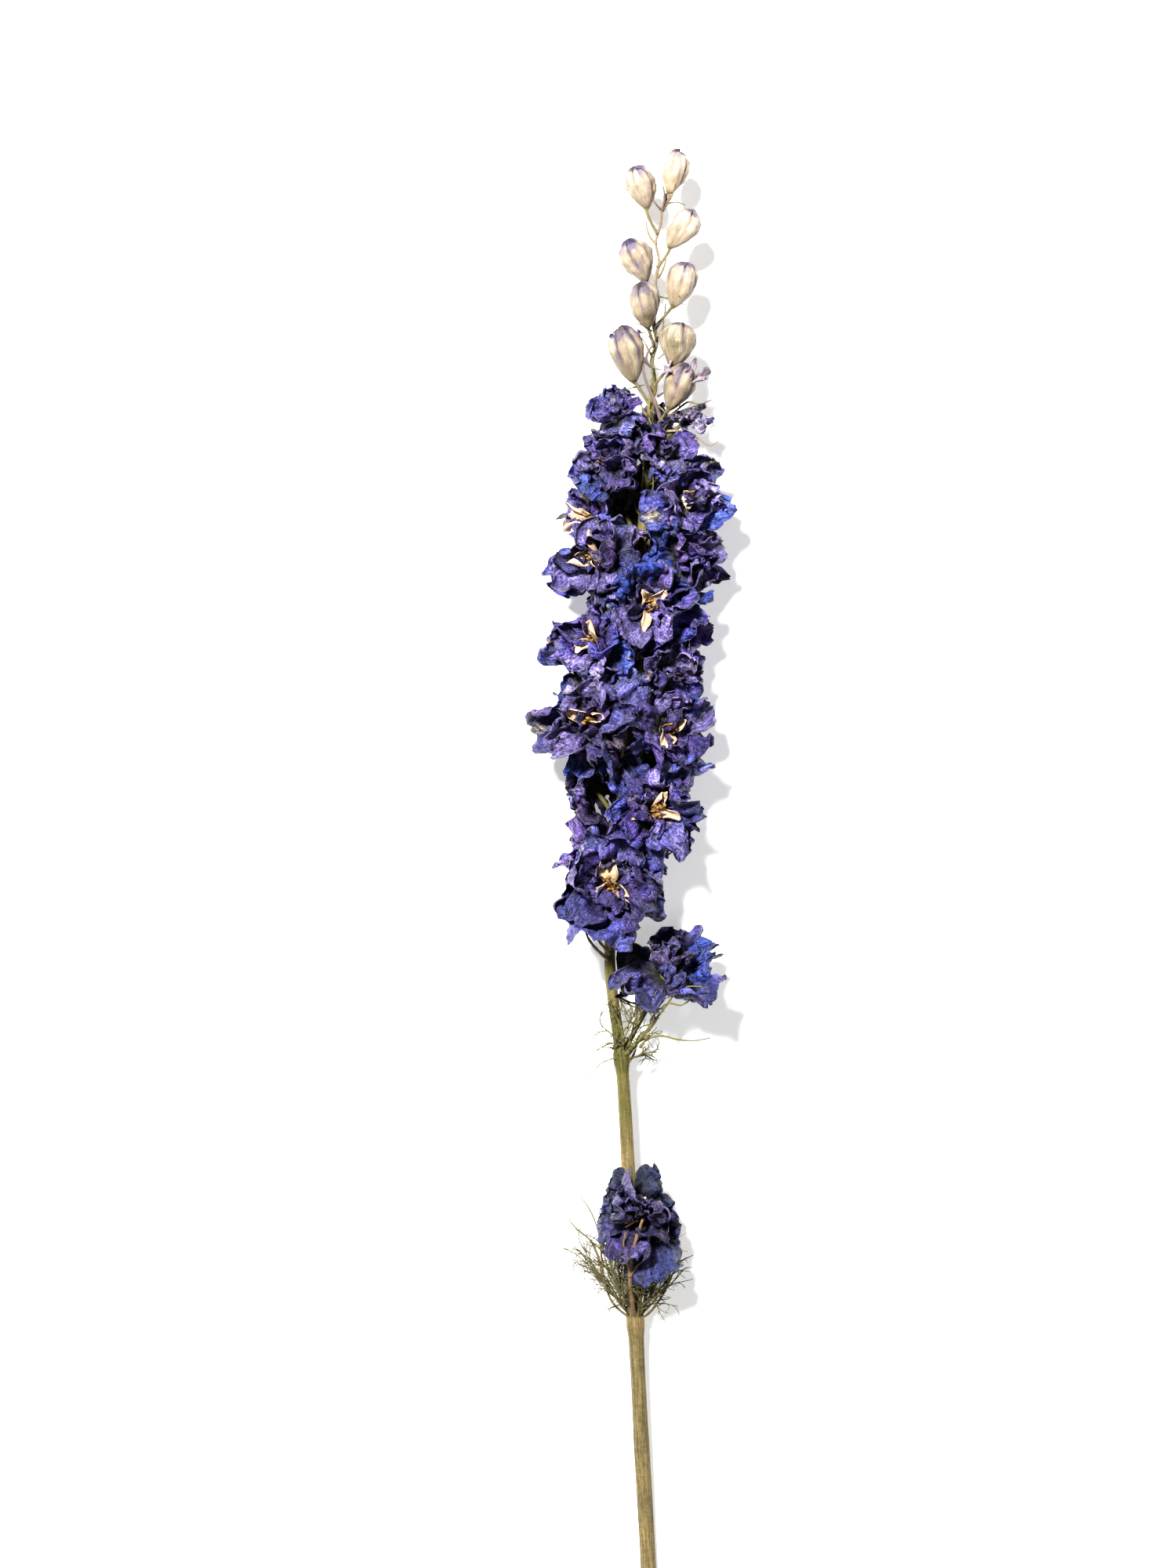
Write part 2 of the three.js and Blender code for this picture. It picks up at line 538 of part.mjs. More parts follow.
// A bloom in one skin: the knot, two whorls of five petals and the spur behind the upper one.
function bloomSolid(bloom, index) {
  const frame = bloomFrame(bloom);
  const loose = bordersOf(bloom, index, RESTING - PRESSED);
  const firm = bordersOf(bloom, index, RESTING);
  const vertices = [];
  const triangles = [];
  const direction = (angle) => sum([frame.upper, Math.cos(angle)], [frame.across, Math.sin(angle)]);
  const put = (arm) => vertices.push(sum([frame.knot, 1], [arm, 1])) - 1;
  const rings = knotRings(bloom).map((ring) =>
    ring.map(({ angle, radius, forwards }) => put(sum([direction(angle), radius], [frame.facing, forwards]))),
  );
  const quad = (a, b, c, d) => triangles.push(a, b, c, a, c, d);
  const [back, middle, front] = rings;
  for (let k = 1; k < 9; k++) triangles.push(front[0], front[k], front[k + 1]);
  for (let k = 3; k < 9; k++) triangles.push(back[2], back[k + 1], back[k]);

  const petal = (whorlName, k, [lowLeft, lowRight, highRight, highLeft]) => {
    const shape = petalShape(bloom, index, whorlName, k);
    const outward = direction(shape.around);
    const tangent = frame.facing.clone().cross(outward);
    const armOf = (p) => sum([outward, p.outwards], [tangent, p.sideways], [frame.facing, p.forwards]);
    const split = (arm) => ({
      outwards: arm.dot(outward),
      sideways: arm.dot(tangent),
      forwards: arm.dot(frame.facing),
    });
    const start = CORE_RADIUS * bloom.size * 0.9;
    const tip = armOf(keepInSlice(petalPoint(shape, start, 0, 1), shape));
    const room = Math.min(1, (CRUMPLED * roomAlong(tip.clone().normalize(), loose)) / tip.length());
    shape.long *= room;
    shape.halfWidth *= Math.sqrt(room);
    const { rim, spine } = RIMS[whorlName];
    const root = [highRight, highLeft].map((i, side) => {
      const other = [lowRight, lowLeft][side];
      return vertices[i].clone().add(vertices[other]).multiplyScalar(0.5).sub(frame.knot);
    });

    // Faces between the rim and the spine. Point 0 and point 1 are the two roots.
    const edge = 2 + rim.length;
    const farSpine = edge + spine.length - 1;
    const faces = [];
    for (let i = 0; i < edge; i++) faces.push([i, (i + 1) % edge, i >= 2 && i < edge - 1 ? farSpine : edge]);
    if (farSpine > edge) faces.push([2, farSpine, edge], [edge - 1, edge, farSpine]);

    // A petal that would double up in the room it has grows calmer, and so flatter.
    let points;
    let normals;
    for (const calm of [1, 0.6, 0.3, 0.1]) {
      const calmer = { ...shape, wave: shape.wave * calm, twist: shape.twist * calm, cup: shape.cup * calm };
      const at = ([u, v]) => {
        const free = armOf(keepInSlice(petalPoint(calmer, start, u, v), shape));
        return keepInside(armOf(keepInSlice(split(keepInside(free, loose, 4)), shape)), firm, 0);
      };
      points = [...root, ...rim.map(at), ...spine.map((v) => at([0, v]))];
      const flats = faces.map(([i, j, l]) =>
        points[j].clone().sub(points[i]).cross(points[l].clone().sub(points[i])),
      );
      normals = points.map((_, i) => sum(...flats.map((flat, f) => [flat, faces[f].includes(i) ? 1 : 0])).normalize());
      if (faces.every((face, f) => face.every((i) => flats[f].dot(normals[i]) > 0.5 * flats[f].length()))) break;
    }
    const skin = (side, roots) =>
      points.map((p, i) => (i < 2 ? roots[i] : put(sum([p, 1], [normals[i], (side * BLADE) / 2]))));
    const above = skin(1, [highRight, highLeft]);
    const under = skin(-1, [lowRight, lowLeft]);
    for (const [i, j, l] of faces) triangles.push(above[i], above[j], above[l], under[j], under[i], under[l]);
    for (let i = 1; i < edge; i++) {
      const next = (i + 1) % edge;
      quad(above[i], under[i], under[next], above[next]);
    }
  };

  const spur = (root) => {
    const lean = draw(-0.3, 0.3, index, 0, 21);
    let last = root;
    for (const [outwards, forwards, radius] of SPUR) {
      const arm = sum([frame.upper, outwards], [frame.facing, forwards], [frame.across, (outwards - 2) * lean]);
      const centre = keepInside(arm.multiplyScalar(bloom.size), firm, 8);
      const corners = [[1.2, -1], [0.9, 1], [-0.9, 1], [-1.2, -1]];
      const flare = (radius * bloom.size) / 2;
      const rise = sum([frame.upper, flare * 1.2], [frame.facing, flare * 1.2]);
      const ring = corners.map(([right, up]) => put(sum([centre, 1], [frame.across, right * flare], [rise, up])));
      for (let i = 0; i < 4; i++) quad(last[i], last[(i + 1) % 4], ring[(i + 1) % 4], ring[i]);
      last = ring;
    }
    quad(...last);
  };

  for (let k = 0; k < 10; k++) {
    const next = (k + 1) % 10;
    const lower = [back[k], back[next], middle[next], middle[k]];
    const upper = [middle[k], middle[next], front[next], front[k]];
    if (k % 2 === 1) petal("outer", (k - 1) / 2, lower);
    else quad(...lower);
    if (k % 2 === 0) petal("inner", k / 2, upper);
    else quad(...upper);
  }
  spur([back[2], back[1], back[0], back[9]]);
  return solidFrom(vertices, triangles);
}

// The heart of a bloom: a short boss in front of the knot, from whose top three stamens and two pale petals grow.
function heartSolid(bloom, index) {
  const frame = bloomFrame(bloom);
  const borders = bordersOf(bloom, index, RESTING);
  const size = bloom.size;
  const vertices = [];
  const triangles = [];
  const direction = (angle) => sum([frame.upper, Math.cos(angle)], [frame.across, Math.sin(angle)]);
  const put = (angle, radius, forwards) => {
    const arm = sum([direction(angle), radius], [frame.facing, forwards]);
    return vertices.push(sum([frame.knot, 1], [keepInside(arm, borders, 8), 1])) - 1;
  };
  const start = BLADE + 0.1 + GAP;
  const top = start + 1.5 * size;
  const turn = draw(0, 2 * Math.PI, index, 0, 52);
  const angles = [0, 1, 2, 3, 4].map((k) => turn + (k / 5) * 2 * Math.PI);
  const low = angles.map((angle) => put(angle, 0.8 * size, start));
  const high = angles.map((angle) => put(angle, 0.9 * size, top));
  const crown = put(0, 0, top + 0.5 * size);
  for (let k = 1; k < 4; k++) triangles.push(low[0], low[k + 1], low[k]);
  for (let k = 0; k < 5; k++) {
    const next = (k + 1) % 5;
    triangles.push(low[k], low[next], high[next], low[k], high[next], high[k]);
    const aim = turn + ((k + 0.5) / 5) * 2 * Math.PI;
    const pale = k === 0 || k === 2;
    const [reach, tall, wide, deep] = pale ? [2.5, 3.6, 1.5, 0.7] : [1.75, 2.9, 0.45, 0.6];
    const spread = (wide / reach) * 0.9;
    const forwards = top + tall * size * draw(0.85, 1.1, index, k, 53);
    const tips = [
      put(aim, (reach - deep) * size, forwards),
      put(aim - spread, reach * size, forwards - 0.2 * size),
      put(aim + spread, reach * size, forwards - 0.2 * size),
    ];
    const foot = [crown, high[k], high[next]];
    for (let i = 0; i < 3; i++) {
      const after = (i + 1) % 3;
      triangles.push(foot[i], foot[after], tips[after], foot[i], tips[after], tips[i]);
    }
    triangles.push(...tips);
  }
  return solidFrom(vertices, triangles);
}

// ---------------------------------------------------------------- buds

// An egg with five ridges, for the five folded outer petals, blunt at its tip.
function budBody(bud) {
  const { axis, base, outward } = budFrame(bud);
  const side = outward.clone().addScaledVector(axis, -outward.dot(axis)).normalize();
  const other = axis.clone().cross(side);
  const spokes = 10;
  const heights = [0, 0.13, 0.36, 0.64, 0.88, 1];
  const widths = [0.2, 0.5, 0.88, 1, 0.68, 0.22];
  const vertices = [];
  const triangles = [];
  heights.forEach((height, i) => {
    for (let k = 0; k < spokes; k++) {
      const angle = ((k + 0.25 * i) / spokes) * 2 * Math.PI;
      const radius = (bud.wide / 2) * widths[i] * (k % 2 ? 0.9 : 1.02);
      const [c, s] = [Math.cos(angle) * radius, Math.sin(angle) * radius];
      vertices.push(sum([base, 1], [axis, height * bud.long], [side, c], [other, s]));
    }
  });
  for (let i = 0; i < heights.length - 1; i++)
    for (let k = 0; k < spokes; k++) {
      const [a, b] = [i * spokes + k, i * spokes + ((k + 1) % spokes)];
      triangles.push(a, b, b + spokes, a, b + spokes, a + spokes);
    }
  const end = (heights.length - 1) * spokes;
  for (let k = 1; k < spokes - 1; k++) triangles.push(0, k + 1, k, end, end + k, end + k + 1);
  return solidFrom(vertices, triangles);
}

// ---------------------------------------------------------------- the whole spike

// The slab below the surface, which cuts flat whatever is pressed against it.
const below = new THREE.BoxGeometry(200, 600, 40).translate(0, 0, -20);
const surface = solidOf(below);

const stalks = [mainStem(), ...BLOOMS.map(bloomStalk), ...BUDS.filter((bud) => bud.drop).map(budStalk)];
const bracts = [...BLOOMS, ...BUDS].map(bract);
const stemParts = [...stalks, ...bracts, ...FRONDS.map(frond)];
const stemSolid = mainBody(fuse(stemParts.map((part) => part.piece)).subtract(surface), FINEST_STEM);
const stemRoom = fuse(stemParts.map((part) => part.room));

const spike = new THREE.Group();
spike.position.set(-FOOTPRINT_CENTRE.x, -FOOTPRINT_CENTRE.y, 0);
spike.add(meshOf("stem", stemSolid, COLOURS.stem));

BLOOMS.forEach((bloom, index) => {
  const number = String(index + 1).padStart(2, "0");
  const free = bloomSolid(bloom, index).subtract(stemRoom).subtract(surface);
  spike.add(meshOf(`bloom_${number}`, mainBody(free), COLOURS.bloom));
  if (index < FIRST_HEART) return;
  spike.add(meshOf(`heart_${number}`, mainBody(heartSolid(bloom, index).subtract(surface)), COLOURS.heart));
});

BUDS.forEach((bud, index) => {
  const cut = mainBody(budBody(bud).subtract(stemRoom));
  spike.add(meshOf(`bud_${index + 1}`, cut, COLOURS.bud));
});

export default spike;
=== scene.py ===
# %% [markdown]
# A dried delphinium spike lying on a pale table. This lesson dresses the plain solids of the spike: every
# petal becomes a thin crumpled sheet, the buds get their folded seams, and the stem its ridges and thread
# leaves. The solids are loaded first. They are never moved, because all that follows is fitted to them.

import math
import bpy
import numpy as np
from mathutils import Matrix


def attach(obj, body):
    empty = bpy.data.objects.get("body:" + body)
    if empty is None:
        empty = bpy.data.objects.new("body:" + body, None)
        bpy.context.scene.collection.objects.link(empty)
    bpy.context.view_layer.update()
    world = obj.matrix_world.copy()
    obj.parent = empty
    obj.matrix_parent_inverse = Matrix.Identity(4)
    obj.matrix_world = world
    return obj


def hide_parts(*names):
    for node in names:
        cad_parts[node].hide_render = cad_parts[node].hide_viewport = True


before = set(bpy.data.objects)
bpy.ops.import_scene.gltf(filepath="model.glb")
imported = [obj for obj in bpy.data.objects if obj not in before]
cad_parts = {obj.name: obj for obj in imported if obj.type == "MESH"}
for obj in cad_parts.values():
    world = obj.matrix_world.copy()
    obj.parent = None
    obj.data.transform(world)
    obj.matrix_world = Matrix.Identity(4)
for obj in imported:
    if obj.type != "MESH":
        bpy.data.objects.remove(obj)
bpy.context.view_layer.update()

scene = bpy.context.scene
print("solids loaded:", len(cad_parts))

# %% [markdown]
# Measures are in millimetres, and only finished meshes are turned into metres. Y runs along the spike to
# its tip and Z is up. A cut spike without a vase lies down, so the camera hangs straight above it. It has a
# long lens, because a short one would show the side of each bloom that is far from the middle and bend the
# outline of the spike.

# %% Camera
MM = 0.001
MIDDLE = np.array([-10.1, 37.2, 0.0])  # from the rows' own origin to the middle of the lying spike
SENSOR = 36.0
LENS = 85.0
FRAME_HEIGHT = 400.0  # what the camera sees from bottom to top, at the height of the stem
SPIKE_HEIGHT = 15.0

camera_data = bpy.data.cameras.new("camera")
camera_data.lens = LENS
camera_data.sensor_fit = "VERTICAL"
camera_data.sensor_height = SENSOR
camera = bpy.data.objects.new("camera", camera_data)
camera.location = (MIDDLE[0] * MM, MIDDLE[1] * MM, (SPIKE_HEIGHT + FRAME_HEIGHT * LENS / SENSOR) * MM)
scene.collection.objects.link(camera)
scene.camera = camera
print("camera height in metres:", round(camera.location.z, 3))

# %% [markdown]
# The table is one large pale sheet. Strong lamps would make it white too, but they would bleach the petals,
# so the sheet glows a little by itself instead.

# %% Table
TABLE_HALF = 1.6  # metres from the middle of the table to its edge

table_mesh = bpy.data.meshes.new("table")
corners = [(x * TABLE_HALF, y * TABLE_HALF, 0) for x, y in ((-1, -1), (1, -1), (1, 1), (-1, 1))]
table_mesh.from_pydata(corners, [], [(0, 1, 2, 3)])
table = bpy.data.objects.new("table", table_mesh)
scene.collection.objects.link(table)

table_paint = bpy.data.materials.new("pale_table")
table_paint.use_nodes = True
table_shader = table_paint.node_tree.nodes["Principled BSDF"]
table_shader.inputs["Base Color"].default_value = (0.84, 0.84, 0.84, 1)
table_shader.inputs["Roughness"].default_value = 0.8
table_shader.inputs["Emission Color"].default_value = (1, 1, 1, 1)
table_shader.inputs["Emission Strength"].default_value = 0.32
table_mesh.materials.append(table_paint)
print("table side in metres:", 2 * TABLE_HALF)

# %% [markdown]
# A broad soft lamp stands beyond the tip and a little to the left, as daylight from a window does, and a
# weak one opposite lifts the darkest petals. A sky alone would be simpler, but it closes the dark gaps that
# make a dense flower look deep, so the sky here is faint. The high contrast look keeps those gaps dark and
# the buds bright.

# %% Window light and sky
LIT_MIDDLE = np.array([0, 0.03, 0.01])  # the place in metres that the lamps are turned to


def soft_light(name, place, width, watts):
    """A round lamp at a place in metres."""
    data = bpy.data.lights.new(name, "AREA")
    data.shape = "DISK"
    data.size = width
    data.energy = watts
    light = bpy.data.objects.new(name, data)
    light.location = place
    aim = LIT_MIDDLE - np.array(place)
    yaw = math.atan2(aim[1], aim[0])
    pitch = math.atan2(math.hypot(aim[0], aim[1]), -aim[2])
    light.rotation_euler = (0, -pitch, yaw + math.pi)
    scene.collection.objects.link(light)


soft_light("window", (-0.34, 0.52, 1.15), width=0.26, watts=65)
soft_light("filler", (0.7, -0.3, 1.3), width=0.9, watts=5)

sky = bpy.data.worlds.new("sky")
sky.use_nodes = True
sky.node_tree.nodes["Background"].inputs["Color"].default_value = (1, 1, 1, 1)
sky.node_tree.nodes["Background"].inputs["Strength"].default_value = 0.15
scene.world = sky
scene.view_settings.view_transform = "Standard"
scene.view_settings.look = "High Contrast"
print("lamps:", len(bpy.data.lights))

# %% [markdown]
# Everything grows from the stem, so its line comes first: a few stations, and between them a smooth curve
# without a kink at any station. From it follow the direction along the stem and a direction outwards at any
# turn round it. A curve object could hold the same line, but plain numbers are quicker to ask, and the line
# is asked many times.

# %% The stem's line
STEM = np.array([  # y, x, height, radius
    (-236, 17.0, 1.8, 2.0), (-204, 15.7, 1.8, 2.0), (-170, 13.8, 3.8, 1.95), (-138, 12.2, 6.2, 1.9),
    (-96, 10.2, 8.4, 1.7), (-71, 8.6, 9.7, 1.55), (-46, 5.6, 10.8, 1.4), (-22, 7.0, 11.5, 1.35),
    (4, 9.4, 12.0, 1.3), (31, 12.6, 12.3, 1.25), (60, 13.6, 12.7, 1.15), (101, 16.4, 13.4, 0.8),
    (127, 17.6, 14.0, 0.6), (144, 18.2, 14.4, 0.5), (150.5, 20.6, 14.6, 0.75),
], float)
STEM_TIP = STEM[-1, 0]
UP = np.array([0.0, 0.0, 1.0])


def unit(vector):
    return vector / np.linalg.norm(vector, axis=-1, keepdims=True)


def stem_at(y):
    """The middle of the stem at one y, and its radius."""
    ys = STEM[:, 0]
    i = int(np.clip(np.searchsorted(ys, y, side="right") - 1, 0, len(ys) - 2))
    span = ys[i + 1] - ys[i]
    t = (y - ys[i]) / span

    def slope(k):
        a, b = STEM[max(k - 1, 0)], STEM[min(k + 1, len(STEM) - 1)]
        return (b[1:] - a[1:]) / (b[0] - a[0]) * span

    row = (
        (2 * t**3 - 3 * t**2 + 1) * STEM[i, 1:] + (t**3 - 2 * t**2 + t) * slope(i)
        + (3 * t**2 - 2 * t**3) * STEM[i + 1, 1:] + (t**3 - t**2) * slope(i + 1)
    )
    return np.array([row[0], y, row[1]]), row[2]


def directions_at(y, turn):
    """The direction along the stem, and the one that points away from it; a turn of 0 points up."""
    along = unit(stem_at(y + 0.5)[0] - stem_at(y - 0.5)[0])
    side = unit(np.cross(along, UP))
    top = np.cross(side, along)
    return along, top * math.cos(math.radians(turn)) + side * math.sin(math.radians(turn))


print("stem from cut end to tip:", STEM_TIP - STEM[0, 0], "mm")

# %% [markdown]
# A delphinium opens from below, so the large blooms sit low and the small ones high, in a loose spiral.
# Each row gives a bloom's place along the stem, its turn round the stem, how far out it stands, its size,
# its nod in degrees, how far it is open, and how far below it its stalk starts. Rows like these keep the
# petals where the solids are, and any row can be changed by hand. What sets single blooms apart is listed
# below the rows.

# %% Where the blooms sit
BLOOM_ROWS = [  # y, turn, out, size, nod, open, drop
    (93, -62, 8.5, 0.66, 38, 0.45, 9), (93, 78, 9, 0.52, 34, 0.3, 9), (91, 175, 7, 0.6, 30, 0.5, 9),
    (84, 28, 8, 0.74, 22, 0.7, 9), (80, -56, 10, 0.95, 12, 0.9, 9), (77, 128, 8, 0.8, 10, 0.8, 9),
    (73, 62, 10.5, 0.98, 6, 0.9, 9), (70, -136, 8, 0.9, 8, 0.9, 9), (67, -84, 12.5, 0.8, 4, 1, 10),
    (58, 72, 11, 1, 4, 1, 10), (56, -52, 12.5, 1.08, 12, 1, 10), (55, 172, 6.8, 0.95, 4, 1, 9),
    (45, 12, 9.5, 1.1, 10, 1, 11), (38, 112, 9.5, 0.95, 0, 1, 10), (35, -58, 11.5, 1.06, 12, 1, 10),
    (33, -150, 7.2, 0.98, 0, 1, 9), (29, 52, 9, 0.86, -4, 0.9, 10), (15, -44, 12.5, 1.22, 0, 1, 12),
    (15, 49, 11, 1.08, 14, 1, 11), (9, 141, 8.2, 1, 8, 1, 9), (0, -104, 9.5, 1, -4, 0.9, 10),
    (-6, 42, 11, 1.14, 8, 1, 12), (-8, 130, 8.5, 0.9, 0, 0.9, 9), (-18, -154, 6.4, 0.98, -9, 1, 9),
    (-26, -4, 9.5, 1.28, 6, 1, 12), (-50, 70, 15, 1.12, 40, 0.9, 20), (-109, 14, 7, 1.25, 12, 0.75, 26),
]
BLOOMS = [dict(zip(("y", "turn", "out", "size", "nod", "open", "drop"), row)) for row in BLOOM_ROWS]
TRAITS = {  # blooms are counted from 0
    "slim": {24: 14.5, 26: 10},  # how far the petals reach to each side, in mm
    "left": {20: 15.5},  # how far the petals reach to the left of the stem, in mm
    "spread": {17: 4, 20: 8, 21: 6, 23: 8, 24: 5},  # how much further they reach in among others, in mm
    "shade": {20: 0.85, 25: 0.66, 26: 0.62},  # under 1 is darker than the rest
    "blue": {6: 0.4, 9: 0.4, 25: 1.0, 26: 1.3},  # above 0 is bluer than the rest
    "young": {1: 0.85},  # how far the petals are still the colour of a bud
    "veiled": {4: 0.7, 5: 1, 6: 1, 7: 1, 9: 1, 16: 1, 20: 0.8, 25: 0.7, 26: 1},  # the core hides the heart
    "pale": {8: 1.5, 10: 1.5, 14: 1.3, 17: 1.25},  # larger pale petals in the heart
}
for trait, owners in TRAITS.items():
    for index, value in owners.items():
        BLOOMS[index][trait] = value
TURNED = 0.6  # share of its turn round the stem that a bloom faces sideways; the rest it faces forwards
CENTRE_AHEAD = 3  # from a bloom's knot to its middle, in mm for a bloom of size 1


def bloom_frame(bloom):
    """A bloom's knot, the directions it faces and spreads in, and its middle."""
    along, outward = directions_at(bloom["y"], bloom["turn"])
    knot = stem_at(bloom["y"])[0] + outward * bloom["out"]
    nod = math.radians(bloom["nod"])
    behind = math.copysign(180, bloom["turn"]) if abs(bloom["turn"]) > 90 else 0
    aim = directions_at(bloom["y"], behind + (bloom["turn"] - behind) * TURNED)[1]
    facing = aim * math.cos(nod) + along * math.sin(nod)
    upper = along * math.cos(nod) - aim * math.sin(nod)
    return {
        "knot": knot, "facing": facing, "upper": upper, "across": np.cross(facing, upper),
        "outward": outward, "along": along, "centre": knot + facing * CENTRE_AHEAD * bloom["size"],
    }


print("blooms:", len(BLOOMS), "and the first knot:", np.round(bloom_frame(BLOOMS[0])["knot"], 2))

# %% [markdown]
# The buds at the tip haven't opened yet. Their rows say how they lean, how long and wide they are, and how
# much violet and how much green has dried into their skin. The topmost bud has no stalk of its own: it ends
# the stem.

# %% Where the buds sit
GAP = 0.3  # air between a bud or a bloom and what it must not touch

BUD_ROWS = [  # y, turn, out, lean, long, wide, drop, flushed, green
    (150.5, 70, 0, -9, 11, 6.8, 0, 0.25, 0.06), (149.2, -80, 7.2, 40, 10.6, 7.8, 9, 0.55, 0.12),
    (141.8, 65, 6.4, 32, 11, 8, 10, 0.25, 0.08), (133.3, -60, 6, 28, 11.2, 8.2, 9, 0.7, 0.14),
    (127.4, 70, 6.2, 16, 11.2, 8.2, 11, 0.45, 0.16), (121.6, -34, 5.4, 20, 11.4, 8, 10, 0.55, 0.42),
    (109.2, -68, 7.2, 16, 14, 9, 13, 0.95, 0.45), (112.2, 60, 6.8, 12, 10.8, 9.4, 11, 0.55, 0.62),
    (101.4, 55, 8, 24, 12, 8, 12, 0.8, 0.36),
]
BUD_KEYS = ("y", "turn", "out", "lean", "long", "wide", "drop", "flushed", "green")
BUDS = [dict(zip(BUD_KEYS, row)) for row in BUD_ROWS]


def bud_frame(bud):
    """A bud's base and middle, its axis, and the direction in which it grows out of the stem."""
    along, outward = directions_at(min(bud["y"], STEM_TIP - 1), bud["turn"])
    lean = math.radians(bud["lean"])
    axis = along * math.cos(lean) + outward * math.sin(lean)
    centre = stem_at(bud["y"])[0] + outward * bud["out"]
    if bud["drop"] == 0:
        centre = centre + axis * (GAP + bud["long"] / 2)
    return {"axis": axis, "base": centre - axis * bud["long"] / 2, "centre": centre, "outward": outward}


print("buds:", len(BUDS), "and the topmost base:", np.round(bud_frame(BUDS[0])["base"], 2))

# %% [markdown]
# Nothing on a plant is drawn twice alike, yet the same file must give the same flower each time. A sine of
# the plant part, the petal and the use gives such a draw: the same three numbers always give the same
# value, whatever is built before. A random generator with a seed would shift every later petal as soon as
# one petal is added.

# %% Repeatable draws
def draw(low, high, part, petal, use):
    scattered = math.sin(part * 127.1 + petal * 311.7 + use * 74.7) * 43758.5453
    return low + (high - low) * (scattered - math.floor(scattered))


print("one draw from 0 to 1:", round(draw(0, 1, 3, 5, 7), 4))

# %% [markdown]
# Crumpled skin needs a smooth roughness as well. It is made of repeatable values on the corners of a grid,
# blended in between. Its absolute value gives sharp creases between rounded fields, as in dry paper, and
# its use on places in three dimensions lets it close round a bud or a stem without a seam.

# %% Smooth roughness and sharp creases
CORNER_FACTORS = (0x8DA6B343, 0xD8163841, 0xCB1AB31F)
LOW_BITS = np.uint64(0xFFFFFFFF)


def corner_value(corner, seed):
    """A value from -1 to 1 for a grid corner, scattered by mixing the bits of its three numbers."""
    mixed = np.zeros(corner.shape[:-1], np.uint64) + np.uint64(seed * 7919 + 17)
    for axis, factor in enumerate(CORNER_FACTORS):
        whole = (corner[..., axis].astype(np.int64) & 0xFFFFFFFF).astype(np.uint64)
        mixed = (mixed ^ (whole * np.uint64(factor))) & LOW_BITS
    mixed = ((mixed ^ (mixed >> np.uint64(13))) * np.uint64(0x5BD1E995)) & LOW_BITS
    mixed = ((mixed ^ (mixed >> np.uint64(15))) * np.uint64(0x27D4EB2D)) & LOW_BITS
    mixed = mixed ^ (mixed >> np.uint64(16))
    return mixed.astype(float) / 2**31 - 1


def rough(places, seed=0):
    """Smooth values from -1 to 1 at any places, an array of x, y, z with one bump for each unit of length."""
    places = np.asarray(places, float)
    low = np.floor(places)
    blend = places - low
    blend = blend * blend * (3 - 2 * blend)
    total = np.zeros(places.shape[:-1])
    for step in np.ndindex(2, 2, 2):
        share = np.prod(np.where(step, blend, 1 - blend), axis=-1)
        total += share * corner_value(low + step, seed)
    return total


def crease(places, seed=0):
    """Sharp crests where the roughness passes through nothing, and rounded dips between them."""
    return 1 - 2.6 * np.abs(rough(places, seed))


def smooth_step(low, high, value):
    """Rises smoothly from 0 at low to 1 at high."""
    t = np.clip((value - low) / (high - low), 0, 1)
    return t * t * (3 - 2 * t)


print("roughness at one place:", round(float(rough(np.array([0.3, 1.7, 2.2]))), 4))

# %% [markdown]
# On a crowded spike a bloom can only spread until it meets its neighbours, a bud, the stem or the table.
# That room is a set of flat borders round its knot, each halfway to a neighbour or just clear of what is
# hard. Moving petals apart one by one would take much longer, and cutting them off would leave straight
# edges.

# %% The borders round a bloom
BLADE = 0.6  # thickness of a petal in the plain solids
SPARE = 0.1  # what round shapes need to stay clear where the sum of their measures says that they just touch
RESTING = 0.12  # lowest that a petal may hang above the table
CELL_SIDE = 0.45  # half the air between two blooms
NEIGHBOURLY = 45  # blooms that are further apart don't meet
PUSHED_FORWARDS = 0.55  # share of its turn at which the stem holds off a bloom in front of it


